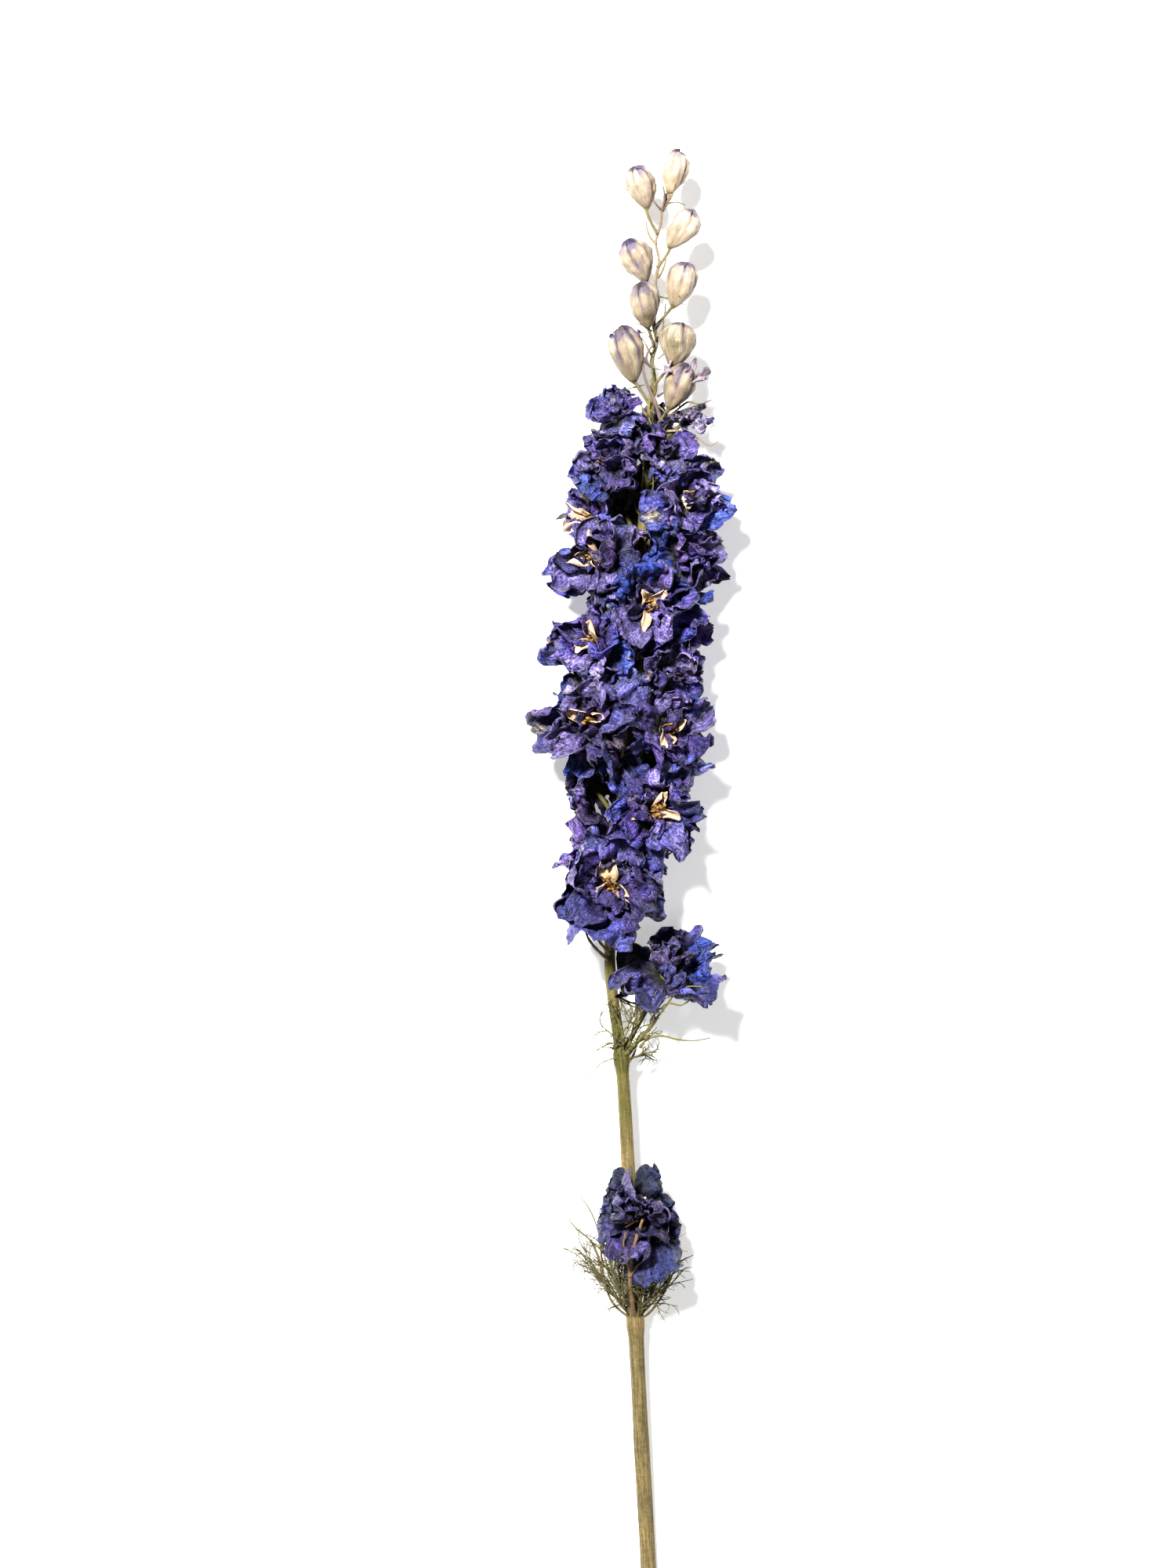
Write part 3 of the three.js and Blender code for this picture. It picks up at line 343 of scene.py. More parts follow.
def borders_of(bloom, index, lowest, overlap=0.0, beside_stem=True):
    """The borders' directions away from the knot, and how far each border is from it."""
    own = bloom_frame(bloom)
    normals, reaches = [], []

    def add(normal, point, eased=0.0):
        normals.append(normal)
        reaches.append(float(np.dot(point - own["knot"], normal)) + eased)

    for k, other in enumerate(BLOOMS):
        towards = bloom_frame(other)["centre"] - own["centre"]
        apart = float(np.linalg.norm(towards))
        if k == index or apart > NEIGHBOURLY:
            continue
        share = bloom["size"] / (bloom["size"] + other["size"])
        towards = towards / apart
        halfway = own["centre"] + towards * (apart * share - CELL_SIDE)
        add(towards, halfway, overlap and overlap + bloom.get("spread", 0))
    for bud in BUDS:
        shape = bud_frame(bud)
        towards = unit(shape["centre"] - own["centre"])
        lengthwise = float(np.dot(towards, shape["axis"]))
        crosswise = math.sqrt(max(1 - lengthwise**2, 0))
        half = math.hypot(bud["long"] / 2 * lengthwise, bud["wide"] / 2 * crosswise)
        add(towards, shape["centre"] - towards * (half + GAP + BLADE / 2 + SPARE))
    middle, radius = stem_at(bloom["y"])
    if beside_stem:
        held_off = PUSHED_FORWARDS if abs(bloom["turn"]) < 90 else 1
        inwards = -directions_at(bloom["y"], bloom["turn"] * held_off)[1]
        add(inwards, middle - inwards * (radius + GAP + BLADE))
    if "slim" in bloom:
        for side in (-1, 1):
            lean = unit(own["across"] * side + own["upper"] * 0.35)
            add(lean, own["knot"] + own["across"] * side * bloom["slim"])
    if "left" in bloom:
        for slope in (-0.4, 0.3):
            add(unit(np.array([-1, slope, 0])), middle - np.array([bloom["left"], 0, 0]))
    add(-UP, np.array([0, 0, lowest]))
    return np.array(normals), np.array(reaches)


print("borders of the middle bloom:", len(borders_of(BLOOMS[12], 12, RESTING)[1]))

# %% [markdown]
# A petal is drawn in softly as it nears a border, which is what crumples the real petals: they kept their
# size and lost their room. The borders are wavy, in broad waves with finer ones on them, because no petal
# ends along a plane.

# %% Draw petals in at wavy borders
LEAST_ROOM = 1.6
FREE = 60.0  # reach in a direction that no border crosses
UNEVEN = 0.17  # share by which a border waves in and out


def room_along(directions, borders):
    """How far a petal may reach from the knot in each direction."""
    normals, reaches = borders
    slopes = directions @ normals.T
    limits = np.where(slopes > 1e-3, np.maximum(reaches, LEAST_ROOM) / np.maximum(slopes, 1e-3), FREE)
    waves = 1 + UNEVEN * rough(directions * 2.4 + reaches[0], 22)
    fine_waves = 0.6 * UNEVEN * rough(directions * 5.5 + reaches[0], 23)
    return np.minimum(limits.min(axis=-1) * (waves + fine_waves), FREE)


def keep_inside(arms, borders, firmness):
    """Draws points in as they near the borders, from further off where the firmness is low."""
    lengths = np.maximum(np.linalg.norm(arms, axis=-1), 1e-6)
    share = lengths / room_along(arms / lengths[..., None], borders)
    squeezed = 1 / (1 + share**firmness) ** (1 / firmness)
    return arms * squeezed[..., None]


middle_borders = borders_of(BLOOMS[12], 12, RESTING)
far_point = keep_inside(np.array([[0.0, 0.0, 100.0]]), middle_borders, 5)
print("a point 100 mm above the middle bloom is drawn in to", round(float(np.linalg.norm(far_point)), 1))

# %% [markdown]
# All sheets, tubes and shells of one piece are gathered first and turned into a mesh at the end. Joining
# finished objects would do the same more slowly. Each point keeps two extras for its finish: a tint, and a
# place on its own petal or stalk, so that veins can run with the growth.

# %% Gather surfaces into a mesh
def add_point_values(mesh, name, kind, part, values):
    attribute = mesh.attributes.new(name, kind, "POINT")
    attribute.data.foreach_set(part, values.astype(np.float32).ravel())


class Gather:
    """The four-cornered faces of one piece, with a tint and a place for every point."""

    def __init__(self):
        self.points, self.faces, self.tints, self.places = [], [], [], []
        self.count = 0

    def add(self, points, faces, tints, places):
        points = np.asarray(points, float).reshape(-1, 3)
        self.points.append(points)
        self.faces.append(np.asarray(faces, np.int64) + self.count)
        self.tints.append(np.broadcast_to(np.asarray(tints, float), points.shape))
        self.places.append(np.broadcast_to(np.asarray(places, float), points.shape))
        self.count += len(points)

    def mesh(self, name, material, lowest=0.04):
        points = np.concatenate(self.points)
        points[:, 2] = np.maximum(points[:, 2], lowest)
        faces = np.concatenate(self.faces)
        mesh = bpy.data.meshes.new(name)
        mesh.vertices.add(len(points))
        mesh.vertices.foreach_set("co", ((points + MIDDLE) * MM).astype(np.float32).ravel())
        mesh.loops.add(faces.size)
        mesh.loops.foreach_set("vertex_index", faces.ravel().astype(np.int32))
        mesh.polygons.add(len(faces))
        mesh.polygons.foreach_set("loop_start", np.arange(0, faces.size, 4, dtype=np.int32))
        mesh.polygons.foreach_set("loop_total", np.full(len(faces), 4, np.int32))
        mesh.update(calc_edges=True)
        mesh.polygons.foreach_set("use_smooth", np.ones(len(faces), bool))
        tints = np.concatenate(self.tints)
        add_point_values(mesh, "tint", "FLOAT_COLOR", "color", np.column_stack([tints, np.ones(len(tints))]))
        add_point_values(mesh, "place", "FLOAT_VECTOR", "vector", np.concatenate(self.places))
        mesh.materials.append(material)
        piece = bpy.data.objects.new(name, mesh)
        scene.collection.objects.link(piece)
        return piece


print("a new piece starts with", Gather().count, "points")

# %% [markdown]
# A real petal has two faces and a rim, and its thickness shows wherever its edge curls up. So a sheet is a
# grid of points with its two faces pushed apart along the grid's own normals, and a band of faces round the
# rim. A solidify modifier would do that too, but it couldn't give the two faces tints of their own.

# %% Thin closed sheets
def grid_faces(rows, columns, closed=False):
    """Four-cornered faces of a grid of points; a closed grid joins its last column to its first."""
    r, c = np.meshgrid(np.arange(rows - 1), np.arange(columns if closed else columns - 1), indexing="ij")
    here = r * columns + c
    after = r * columns + (c + 1) % columns
    return np.stack([here, after, after + columns, here + columns], -1).reshape(-1, 4)


def grid_normals(points):
    normals = np.cross(np.gradient(points, axis=1), np.gradient(points, axis=0))
    return normals / np.maximum(np.linalg.norm(normals, axis=-1, keepdims=True), 1e-9)


def add_sheet(gather, points, thickness, front_tint, back_tint, places):
    """A thin closed sheet from a grid of points on its middle, with a tint of its own on each side."""
    rows, columns = points.shape[:2]
    size = rows * columns
    rim = np.concatenate([
        np.arange(columns), np.arange(1, rows) * columns + columns - 1,
        (rows - 1) * columns + np.arange(columns - 2, -1, -1), np.arange(rows - 2, 0, -1) * columns,
    ])
    following = np.roll(rim, -1)
    band = np.stack([following, rim, rim + size, following + size], -1)
    front = grid_faces(rows, columns)
    half = grid_normals(points) * thickness / 2
    both = np.concatenate([points + half, points - half]).reshape(-1, 3)
    tints = np.concatenate([front_tint.reshape(-1, 3), back_tint.reshape(-1, 3)])
    seats = np.concatenate([places.reshape(-1, 3)] * 2)
    gather.add(both, np.concatenate([front, front[:, ::-1] + size, band]), tints, seats)


print("a sheet of 3 by 4 points has", len(grid_faces(3, 4)), "faces on each side")

# %% [markdown]
# Stalks, stamens, spurs and threads are tubes along a line, thick or thin from place to place. A bevelled
# curve gives plain tubes, but a stalk has ridges along it, so the rings are laid here: each ring turns with
# the line, and a wave round it raises the ridges. Both ends are drawn to a point, which closes the tube.

# %% Tubes with ridges
def add_tube(gather, line, radii, sides, tint, part=0.0, ridge=0.0, ridges=7):
    """A closed tube along a line. A list of tints needs two more than the line's points, for its two ends."""
    line = np.asarray(line, float)
    line = np.concatenate([line[:1], line, line[-1:]])
    radii = np.concatenate([[1e-3], radii, [1e-3]])
    tangents = unit(np.gradient(line, axis=0) + 1e-9)
    tangents[0], tangents[-1] = tangents[1], tangents[-2]
    side = UP if abs(tangents[0] @ UP) < 0.9 else np.array([1.0, 0, 0])
    angles = 2 * math.pi * np.arange(sides) / sides
    rings, seats, walked = [], [], 0.0
    for i, tangent in enumerate(tangents):
        side = unit(side - tangent * (side @ tangent))
        other = np.cross(tangent, side)
        swell = radii[i] * (1 + ridge * np.cos(ridges * angles + 0.02 * i))
        sideways, upwards = np.outer(np.cos(angles) * swell, side), np.outer(np.sin(angles) * swell, other)
        rings.append(line[i] + sideways + upwards)
        walked += float(np.linalg.norm(line[i] - line[max(i - 1, 0)]))
        seat = np.column_stack([np.cos(angles), np.sin(angles), np.full(sides, walked)])
        seats.append(seat + [part, part, 0])
    tints = np.repeat(tint, sides, axis=0) if np.ndim(tint) > 1 else tint
    gather.add(np.concatenate(rings), grid_faces(len(line), sides, closed=True), tints, np.concatenate(seats))


print("a tube with 8 sides and 2 rings has", len(grid_faces(2, 8, closed=True)), "faces round it")

# %% [markdown]
# A dried petal is matte with a faint silky sheen, and its veins fan out from the claw. The veins are a
# stretched noise on the petal's own place: long along the growth and fine across it. They darken the tint
# in thin lines. A second, even noise folds into the fine crests of the dried skin, and both raise the
# surface. On those crests the tint is lightened as a painted highlight, and between them it is darkened a
# little as painted shade. An image of petals would give one set of veins for all, and it would be
# stretched where a petal bends.

# %% The nodes of a finish
VEIN_NOISE = {"Scale": 1.0, "Detail": 3.0, "Roughness": 0.6}
SKIN_NOISE = {"Detail": 4.0, "Roughness": 0.62}
VEIN_EDGES = {"From Min": 0.38, "From Max": 0.62}
CREST_EDGES = {"From Min": 0.16, "From Max": 0.0}
CREST_THINNING = 3.0
CREST_RELIEF = -1.3


def add_node(tree, kind, inputs, operation=None, attribute=None):
    """A new shader node; each input is joined to another node's output, or set to a plain value."""
    node = tree.nodes.new("ShaderNode" + kind)
    if operation:
        node.operation = operation
    if attribute:
        node.attribute_name = attribute
    for name, source in inputs.items():
        if isinstance(source, bpy.types.NodeSocket):
            tree.links.new(source, node.inputs[name])
        else:
            node.inputs[name].default_value = source
    return node


def finish_of(name, roughness, gloss, sheen, streaks, streak_depth, painted_highlight, wrinkle, bump, bump_reach):
    """A dried skin. The streaks are stretched by their three factors, and bump_reach is in mm."""
    material = bpy.data.materials.new(name)
    material.use_nodes = True
    tree = material.node_tree
    shader = tree.nodes["Principled BSDF"]
    shader.inputs["Roughness"].default_value = roughness
    shader.inputs["Sheen Weight"].default_value = sheen
    shader.inputs["Sheen Roughness"].default_value = 0.45
    shader.inputs["Specular IOR Level"].default_value = gloss
    tint = add_node(tree, "Attribute", {}, attribute="tint").outputs["Color"]
    place = add_node(tree, "Attribute", {}, attribute="place").outputs["Vector"]
    stretched = add_node(tree, "VectorMath", {0: place, 1: streaks}, "MULTIPLY").outputs[0]
    veins = add_node(tree, "TexNoise", {"Vector": stretched, **VEIN_NOISE}).outputs["Fac"]
    vein_tones = {"To Min": 1 - streak_depth, "To Max": 1 + streak_depth * 0.7}
    lines = add_node(tree, "MapRange", {"Value": veins, **VEIN_EDGES, **vein_tones}).outputs[0]
    where = add_node(tree, "TexCoord", {}).outputs["Object"]
    skin = add_node(tree, "TexNoise", {"Vector": where, "Scale": wrinkle, **SKIN_NOISE}).outputs["Fac"]
    centred = add_node(tree, "Math", {0: skin, 1: 0.5}, "SUBTRACT").outputs[0]
    folded = add_node(tree, "Math", {0: centred}, "ABSOLUTE").outputs[0]
    crest = add_node(tree, "MapRange", {"Value": folded, **CREST_EDGES}).outputs[0]
    thin = add_node(tree, "Math", {0: crest, 1: CREST_THINNING}, "POWER").outputs[0]
    # painted highlight: the tint is lightened on the raised crests and darkened a little between them
    highlight_range = {1: painted_highlight, 2: 1 - painted_highlight * 0.3}
    highlight_tone = add_node(tree, "Math", {0: thin, **highlight_range}, "MULTIPLY_ADD").outputs[0]
    tone = add_node(tree, "Math", {0: lines, 1: highlight_tone}, "MULTIPLY").outputs[0]
    shade = add_node(tree, "VectorMath", {0: tint, "Scale": tone}, "SCALE").outputs[0]
    tree.links.new(shade, shader.inputs["Base Color"])
    relief = add_node(tree, "Math", {0: folded, 1: CREST_RELIEF, 2: veins}, "MULTIPLY_ADD").outputs[0]
    raised = {"Strength": bump, "Distance": bump_reach * MM, "Height": relief}
    tree.links.new(add_node(tree, "Bump", raised).outputs[0], shader.inputs["Normal"])
    return material


print("a finish starts from the tint and the place of each point")

# %% [markdown]
# The four skins differ in how they dried. Petals have deep veins, and their crests get a strong painted
# highlight. Hearts are smoother and finely lined. Buds are tight, so their skin hardly wrinkles. The stem's
# streaks run along it, so its noise is stretched the other way. One function with a few values for each
# keeps them alike in the light.

# %% Petal, heart, bud and stem finishes
petal_finish = finish_of(
    "dried_petal", roughness=0.44, gloss=0.8, sheen=0.05, streaks=(1.7, 0.18, 1.0), streak_depth=0.42,
    painted_highlight=1.6, wrinkle=560, bump=1.0, bump_reach=1.0)
heart_finish = finish_of(
    "dried_heart", roughness=0.5, gloss=0.4, sheen=0.05, streaks=(2.2, 0.3, 1.0), streak_depth=0.26,
    painted_highlight=0.3, wrinkle=700, bump=0.9, bump_reach=0.4)
bud_finish = finish_of(
    "dried_bud", roughness=0.52, gloss=0.35, sheen=0.08, streaks=(4.0, 0.35, 1.0), streak_depth=0.13,
    painted_highlight=0.1, wrinkle=330, bump=0.55, bump_reach=0.45)
stem_finish = finish_of(
    "dried_stem", roughness=0.62, gloss=0.35, sheen=0.05, streaks=(4.0, 4.0, 0.12), streak_depth=0.3,
    painted_highlight=0.3, wrinkle=500, bump=0.8, bump_reach=0.3)
print("finishes:", ", ".join(m.name for m in (petal_finish, heart_finish, bud_finish, stem_finish)))

# %% [markdown]
# A double delphinium has many petals in whorls: broad outer ones that reach out, inner ones that rise over
# them, and small ones round the heart. Every petal gets traits of its own, drawn between limits that its
# whorl sets. Copies of one petal turned round the knot would be quicker, but the eye finds a repeated petal
# at once.

# %% The traits of one petal
WHORLS = {  # millimetres and degrees, for a bloom of size 1; grid is a petal's columns and rows of points
    "outer": {
        "first": 0, "turn": 36, "long": 14.2, "half_width": 6.6, "rise": (-30, 24), "bend": (-35, 85),
        "between": (-28, 33), "shut": 50, "wave": 1.6, "start": 0.9, "flattened": 0.9, "grid": (27, 22),
    },
    "inner": {
        "first": 20, "turn": 0, "long": 11.5, "half_width": 5.4, "rise": (24, 64), "bend": (-70, 70),
        "between": (33, 66), "shut": 20, "wave": 1.5, "start": 0.9, "flattened": 0.4, "grid": (21, 18),
    },
    "core": {
        "first": 40, "turn": 18, "long": 7.4, "half_width": 3.6, "rise": (46, 84), "bend": (-80, 60),
        "between": (44, 84), "shut": 10, "wave": 1.1, "start": 0.55, "flattened": 0.4, "grid": (13, 12),
    },
}
WHORL_PETALS = 5
BROADENED = 1.12  # petals are a little broader than in the solids, which hold fewer of them
CLOSING = 22  # how far the whorls of a shut bloom rise, in degrees


def petal_shape(bloom, index, whorl_name, k):
    whorl = WHORLS[whorl_name]
    n = whorl["first"] + k
    shut = (1 - bloom["open"]) * whorl["shut"]
    closed = (1 - bloom["open"]) * CLOSING
    astray = draw(-9, 9, index, n, 68)
    size = bloom["size"]
    return {
        "id": index * 60 + n,
        "around": math.radians(360 / WHORL_PETALS * k + whorl["turn"] + draw(-15, 15, index, n, 67)),
        "rise": math.radians(draw(*whorl["rise"], index, n, 2) + shut),
        "bend": math.radians(draw(*whorl["bend"], index, n, 3) + shut * 0.4),
        "long": whorl["long"] * size * draw(0.86, 1.1, index, n, 4),
        "half_width": whorl["half_width"] * size * draw(0.86, 1.12, index, n, 5) * BROADENED,
        "cup": draw(-0.05, 0.13, index, n, 6) / size,
        "twist": math.radians(draw(-26, 26, index, n, 7)),
        "wave": whorl["wave"] * size * draw(0.6, 1.3, index, n, 8),
        "phase": draw(0, 2 * math.pi, index, n, 9),
        "between": [math.radians(angle + closed + astray) for angle in whorl["between"]],
        "ruffle": draw(0.4, 1.2, index, n, 69) * size,
        "pleats": draw(0.55, 1.05, index, n, 61),
        "tip_curl": math.radians(draw(-135, 135, index, n, 62)),
        "folds": draw(0.7, 1.35, index, n, 63),
        "side_curl": draw(-2.0, 2.0, index, n, 64),
        "keel": draw(-0.7, 0.7, index, n, 65),
    }


print("petals in a bloom:", len(WHORLS) * WHORL_PETALS)

# %% [markdown]
# A petal is a sheet that keeps its own length as it bends, so it is built from angles rather than heights.
# Here its spine turns from its rise by its bend, curls at the tip, and is turned a little more by roughness
# of three sizes. Adding up the small steps gives folds that overhang, which a plane pushed up and down
# could never do.

# %% The spine of a petal
PETAL_SEED = 3.7  # how far apart two petals lie in the roughness
FOLDS = (  # strength, folds along, folds across, shift, seed
    (1.0, 2.6, 1.3, 0, 5), (0.7, 6.5, 3.0, 9, 6), (0.4, 11, 6, 5, 31),
)


def petal_places(shape, columns, rows):
    """Places across a petal from -1 to 1, along it from 0 to 1, and along it as far as its torn tip."""
    u = np.linspace(-1, 1, columns)
    uu, vv = np.meshgrid(u, np.linspace(0, 1, rows))
    row = np.full(columns, shape["id"] * PETAL_SEED)
    torn = 0.11 * rough(np.column_stack([u * 2.6, row, np.zeros(columns)]), 3)
    notched = 0.07 * rough(np.column_stack([u * 9.0, row, np.ones(columns)]), 4)
    return uu, vv, vv * ((1 - 0.2 * u**2) * (1 + torn + notched))


def rough_layers(layers, shape, uu, along, total):
    """Adds roughness of several sizes to what a petal already has at each place."""
    for strength, lengthwise, crosswise, shift, seed in layers:
        depth = np.full_like(along, shape["id"] * PETAL_SEED + shift)
        total = total + strength * rough(np.stack([along * lengthwise, uu * crosswise, depth], -1), seed)
    return total


def add_up(values, steps):
    """Running sum of values by the middle rule, starting at nothing."""
    halves = (values[1:] + values[:-1]) / 2 * steps
    return np.concatenate([np.zeros_like(values[:1]), np.cumsum(halves, axis=0)])


def spine_of(shape, uu, along):
    """How far outwards and forwards the spine has come at each place, and its angle without the folds."""
    steady = shape["rise"] + shape["bend"] * along
    turned = shape["tip_curl"] * smooth_step(0.72, 1.05, along)
    turned = turned + shape["folds"] * along**0.7 * rough_layers(FOLDS, shape, uu, along, 0)
    steps = np.diff(along, axis=0)
    outwards = shape["long"] * add_up(np.cos(steady + turned), steps)
    forwards = shape["long"] * add_up(np.sin(steady + turned), steps)
    return outwards, forwards, steady


sample_shape = petal_shape(BLOOMS[12], 12, "outer", 0)
spine_out = spine_of(sample_shape, *petal_places(sample_shape, 27, 22)[::2])[0]
print("one spine reaches", round(float(spine_out[-1, 13]), 1), "mm outwards")

# %% [markdown]
# Across a petal the same rule holds: its cross-section turns in pleats that fan from the claw, in finer
# creases, in a keel at the middle and in curled sides. The steps are added up from the middle outwards, so
# the petal draws together where it is pleated, as cloth does. The free rim is ruffled last, because it is
# longer than its seam.

# %% The folds across a petal
PLEATS = (  # strength, waves across, turn of the phase, drift along
    (0.55, 5.2, 1.0, 1.3), (0.45, 10.5, 2.1, -1.7), (0.4, 17, 3.3, 1.0),
)
CREASES = (  # strength, folds along, folds across, shift, seed
    (0.55, 3.2, 4.2, 20, 8), (0.5, 7.0, 9.0, 30, 9),
)


def half_width_of(shape, uu, along):
    outline = shape["half_width"] * (0.15 + 0.85 * np.sin(2.5 * along))
    seat = np.stack([along * 7, np.sign(uu) * 3, np.full_like(along, shape["id"] * PETAL_SEED)], -1)
    return outline * (1 + 0.06 * rough(seat, 7))


def slant_of(shape, uu, along, width):
    """How far a petal's cross-section is turned up at each place."""
    pleated = sum(
        strength * np.sin(waves * uu + turn * shape["phase"] + drift * along)
        for strength, waves, turn, drift in PLEATS
    )
    pleated = rough_layers(CREASES, shape, uu, along, pleated)
    slant = shape["cup"] * uu * width + shape["pleats"] * np.clip(along * 2.2, 0, 1) * pleated
    curled = shape["side_curl"] * uu * np.abs(uu) ** 2 + shape["keel"] * np.tanh(5 * uu)
    return slant + smooth_step(0.15, 0.7, along) * curled


def fold_across(slant, width, step):
    """How far each place lies to the side of the spine, and how far it rises from it."""
    half = slant.shape[1] // 2
    lying = add_up(np.cos(slant).T, step).T
    rising = add_up(np.sin(slant).T, step).T
    return (lying - lying[:, half : half + 1]) * width, (rising - rising[:, half : half + 1]) * width


def ruffle_of(shape, uu, along):
    """How far the free rim waves up and down."""
    rim = smooth_step(0.5, 1.0, np.maximum(np.abs(uu), along)) * smooth_step(0.1, 0.4, along)
    round_rim = np.arctan2(uu, along - 0.3)
    ruffles = np.sin(5.3 * round_rim + shape["phase"]) + 0.7 * np.sin(9.1 * round_rim + 2.3 * shape["phase"])
    return shape["ruffle"] * rim * ruffles * 0.6


def petal_sheet(shape, start, columns, rows):
    """Points of a petal's middle surface, outwards, sideways and forwards from the knot, and their places."""
    uu, vv, along = petal_places(shape, columns, rows)
    outwards, forwards, angle = spine_of(shape, uu, along)
    width = half_width_of(shape, uu, along)
    lying, rising = fold_across(slant_of(shape, uu, along, width), width, uu[0, 1] - uu[0, 0])
    lift = rising + shape["wave"] * along**2 * np.sin(2.4 * uu + shape["phase"] + 3 * along)
    lift = lift + ruffle_of(shape, uu, along)
    roll = shape["twist"] * along
    sideways = lying * np.cos(roll) - lift * np.sin(roll)
    tilted = lying * np.sin(roll) + lift * np.cos(roll)
    points = np.stack([
        start + outwards - tilted * np.sin(angle), sideways, forwards + tilted * np.cos(angle),
    ], -1)
    return points, uu, vv, along


sample_points = petal_sheet(sample_shape, 0, 27, 22)[0]
print("one petal reaches", round(float(sample_points[..., 0].max()), 1), "mm outwards")

# %% [markdown]
# Petals of one bloom lie beside and over each other without passing through. Each is held in a slice
# between its neighbours left and right, and in a layer between the whorls below and above. The hold is
# soft, so a petal that would pass it is pressed flat against the next one, as in a real bloom, instead of
# ending there.

# %% Each petal in its own slice
SLICE_HALF = math.radians(54)
LAYER_EASE = math.radians(15)  # how far a petal may pass the layer of its whorl


def keep_in_slice(points, shape):
    outwards = np.maximum(points[..., 0], 1.0)
    lean = np.abs(points[..., 1]) / (outwards * math.tan(SLICE_HALF))
    sideways = points[..., 1] / (1 + lean**6) ** (1 / 6)
    radius = np.hypot(outwards, sideways)
    reach = np.hypot(radius, points[..., 2])
    low, high = shape["between"][0] - LAYER_EASE, shape["between"][1] + LAYER_EASE
    middle, half = (low + high) / 2, (high - low) / 2
    height = (np.arctan2(points[..., 2], radius) - middle) / half
    held = middle + half * height / (1 + np.abs(height) ** 8) ** (1 / 8)
    stretch = reach * np.cos(held) / radius
    return np.stack([outwards * stretch, sideways * stretch, reach * np.sin(held)], -1)


print("layers in degrees:", {name: whorl["between"] for name, whorl in WHORLS.items()})

# %% [markdown]
# The face of a petal dried violet and its back blue, with a buff-green patch along the midrib near the tip
# of many outer petals, a claw of olive or deep violet, and darker margins. The tint is worked out at each
# point from its place on the petal, with a draw for each petal and bloom. Painting it by hand would be as
# good for one bloom, but not for 27.

# %% The tints of a petal
def srgb(red, green, blue):
    """A colour as the eye reads it, turned into the light values that a render counts in."""
    values = np.array([red, green, blue], float)
    return np.where(values <= 0.04045, values / 12.92, ((values + 0.055) / 1.055) ** 2.4)


VIOLET = srgb(0.32, 0.245, 0.46)
DEEP_VIOLET = srgb(0.175, 0.115, 0.345)
LILAC = srgb(0.60, 0.545, 0.705)
BLUE = srgb(0.165, 0.235, 0.495)
BUFF = srgb(0.50, 0.46, 0.33)
OLIVE = srgb(0.40, 0.38, 0.20)
YOUNG = srgb(0.50, 0.455, 0.50)


def blend_tint(a, b, share):
    return a + (b - a) * np.asarray(share)[..., None]


def violet_face(bloom, index, n, outer, mottled):
    """The face before it is marked: violet, deeper or paler from petal to petal, and blue on some."""
    face = blend_tint(VIOLET, DEEP_VIOLET, np.clip(0.5 * draw(0, 1, index, n, 71) + 0.35 * mottled, 0, 1))
    face = blend_tint(face, LILAC, np.clip(0.55 * draw(-0.4, 1, index, n, 72) + 0.4 * mottled - 0.1, 0, 0.8))
    blue_share = np.clip(draw(-2.4, 1.1, index, n, 73) + bloom.get("blue", 0) + 0.3 * mottled, 0, 0.9)
    return blend_tint(face, BLUE, blue_share * (1 if outer else 0.4))


def midrib_patch(index, n, outer, mottled, uu, along):
    patch = np.exp(-((uu / 0.2) ** 2)) * smooth_step(0.5, 0.72, along) * (1 - smooth_step(0.93, 1.02, along))
    patch = patch * (1 if outer else 0.5) * draw(-0.5, 1, index, n, 74)
    return np.clip(patch * (1 + 0.5 * mottled), 0, 0.85)


def petal_tints(bloom, index, shape, whorl_name, uu, along):
    """The tints of a petal's face and back."""
    n = shape["id"]
    outer = whorl_name == "outer"
    mottled = rough(np.stack([uu * 1.6, along * 2.2, np.full_like(uu, n * 2.3)], -1), 11)
    face = violet_face(bloom, index, n, outer, mottled)
    back = blend_tint(face, BLUE, (0.55 if outer else 0.2) + 0.15 * mottled)
    patch = midrib_patch(index, n, outer, mottled, uu, along)
    back = blend_tint(back, BUFF, patch)
    face = blend_tint(face, BUFF, patch * 0.7)
    claw = 1 - smooth_step(0.05, 0.34, along)
    face = blend_tint(face, OLIVE if outer else DEEP_VIOLET, 0.6 * claw)
    back = blend_tint(back, OLIVE, 0.7 * claw)
    tone = draw(0.78, 1.16, index, 0, 75) * draw(0.62, 1.4, index, n, 76) * bloom.get("shade", 1)
    margin = smooth_step(0.82, 1.0, np.maximum(np.abs(uu), along))[..., None]
    face, back = face * tone * (1 - 0.22 * margin), back * tone * (1 - 0.22 * margin)
    young = np.clip((bloom["y"] - 66) / 30, 0, 1) * bloom.get("young", 0.12)
    greener = YOUNG if "young" in bloom else OLIVE
    face = blend_tint(face, greener, young * np.clip(0.5 + mottled, 0, 1))
    back = blend_tint(back, blend_tint(greener, BUFF, 0.4), young * np.clip(0.6 + mottled, 0, 1))
    return face, back


print("violet as light values:", np.round(VIOLET, 3))

# %% [markdown]
# Petals lie round the stem, not through it, so points that come too near are pushed out to a sleeve round
# it. Petals deep in the spike look darker than the outer ones, because little light comes back out between
# them. More bounces of light in the render would show that too, but slowly, so the tint is darkened towards
# the stem as painted shade.

# %% Clear of the stem, and painted shade near it
def stem_below(points):
    """The stem's middle and radius at the y of each point."""
    middle = points.copy()
    middle[..., 0] = np.interp(points[..., 1], STEM[:, 0], STEM[:, 1])
    middle[..., 2] = np.interp(points[..., 1], STEM[:, 0], STEM[:, 2])
    return middle, np.interp(points[..., 1], STEM[:, 0], STEM[:, 3])


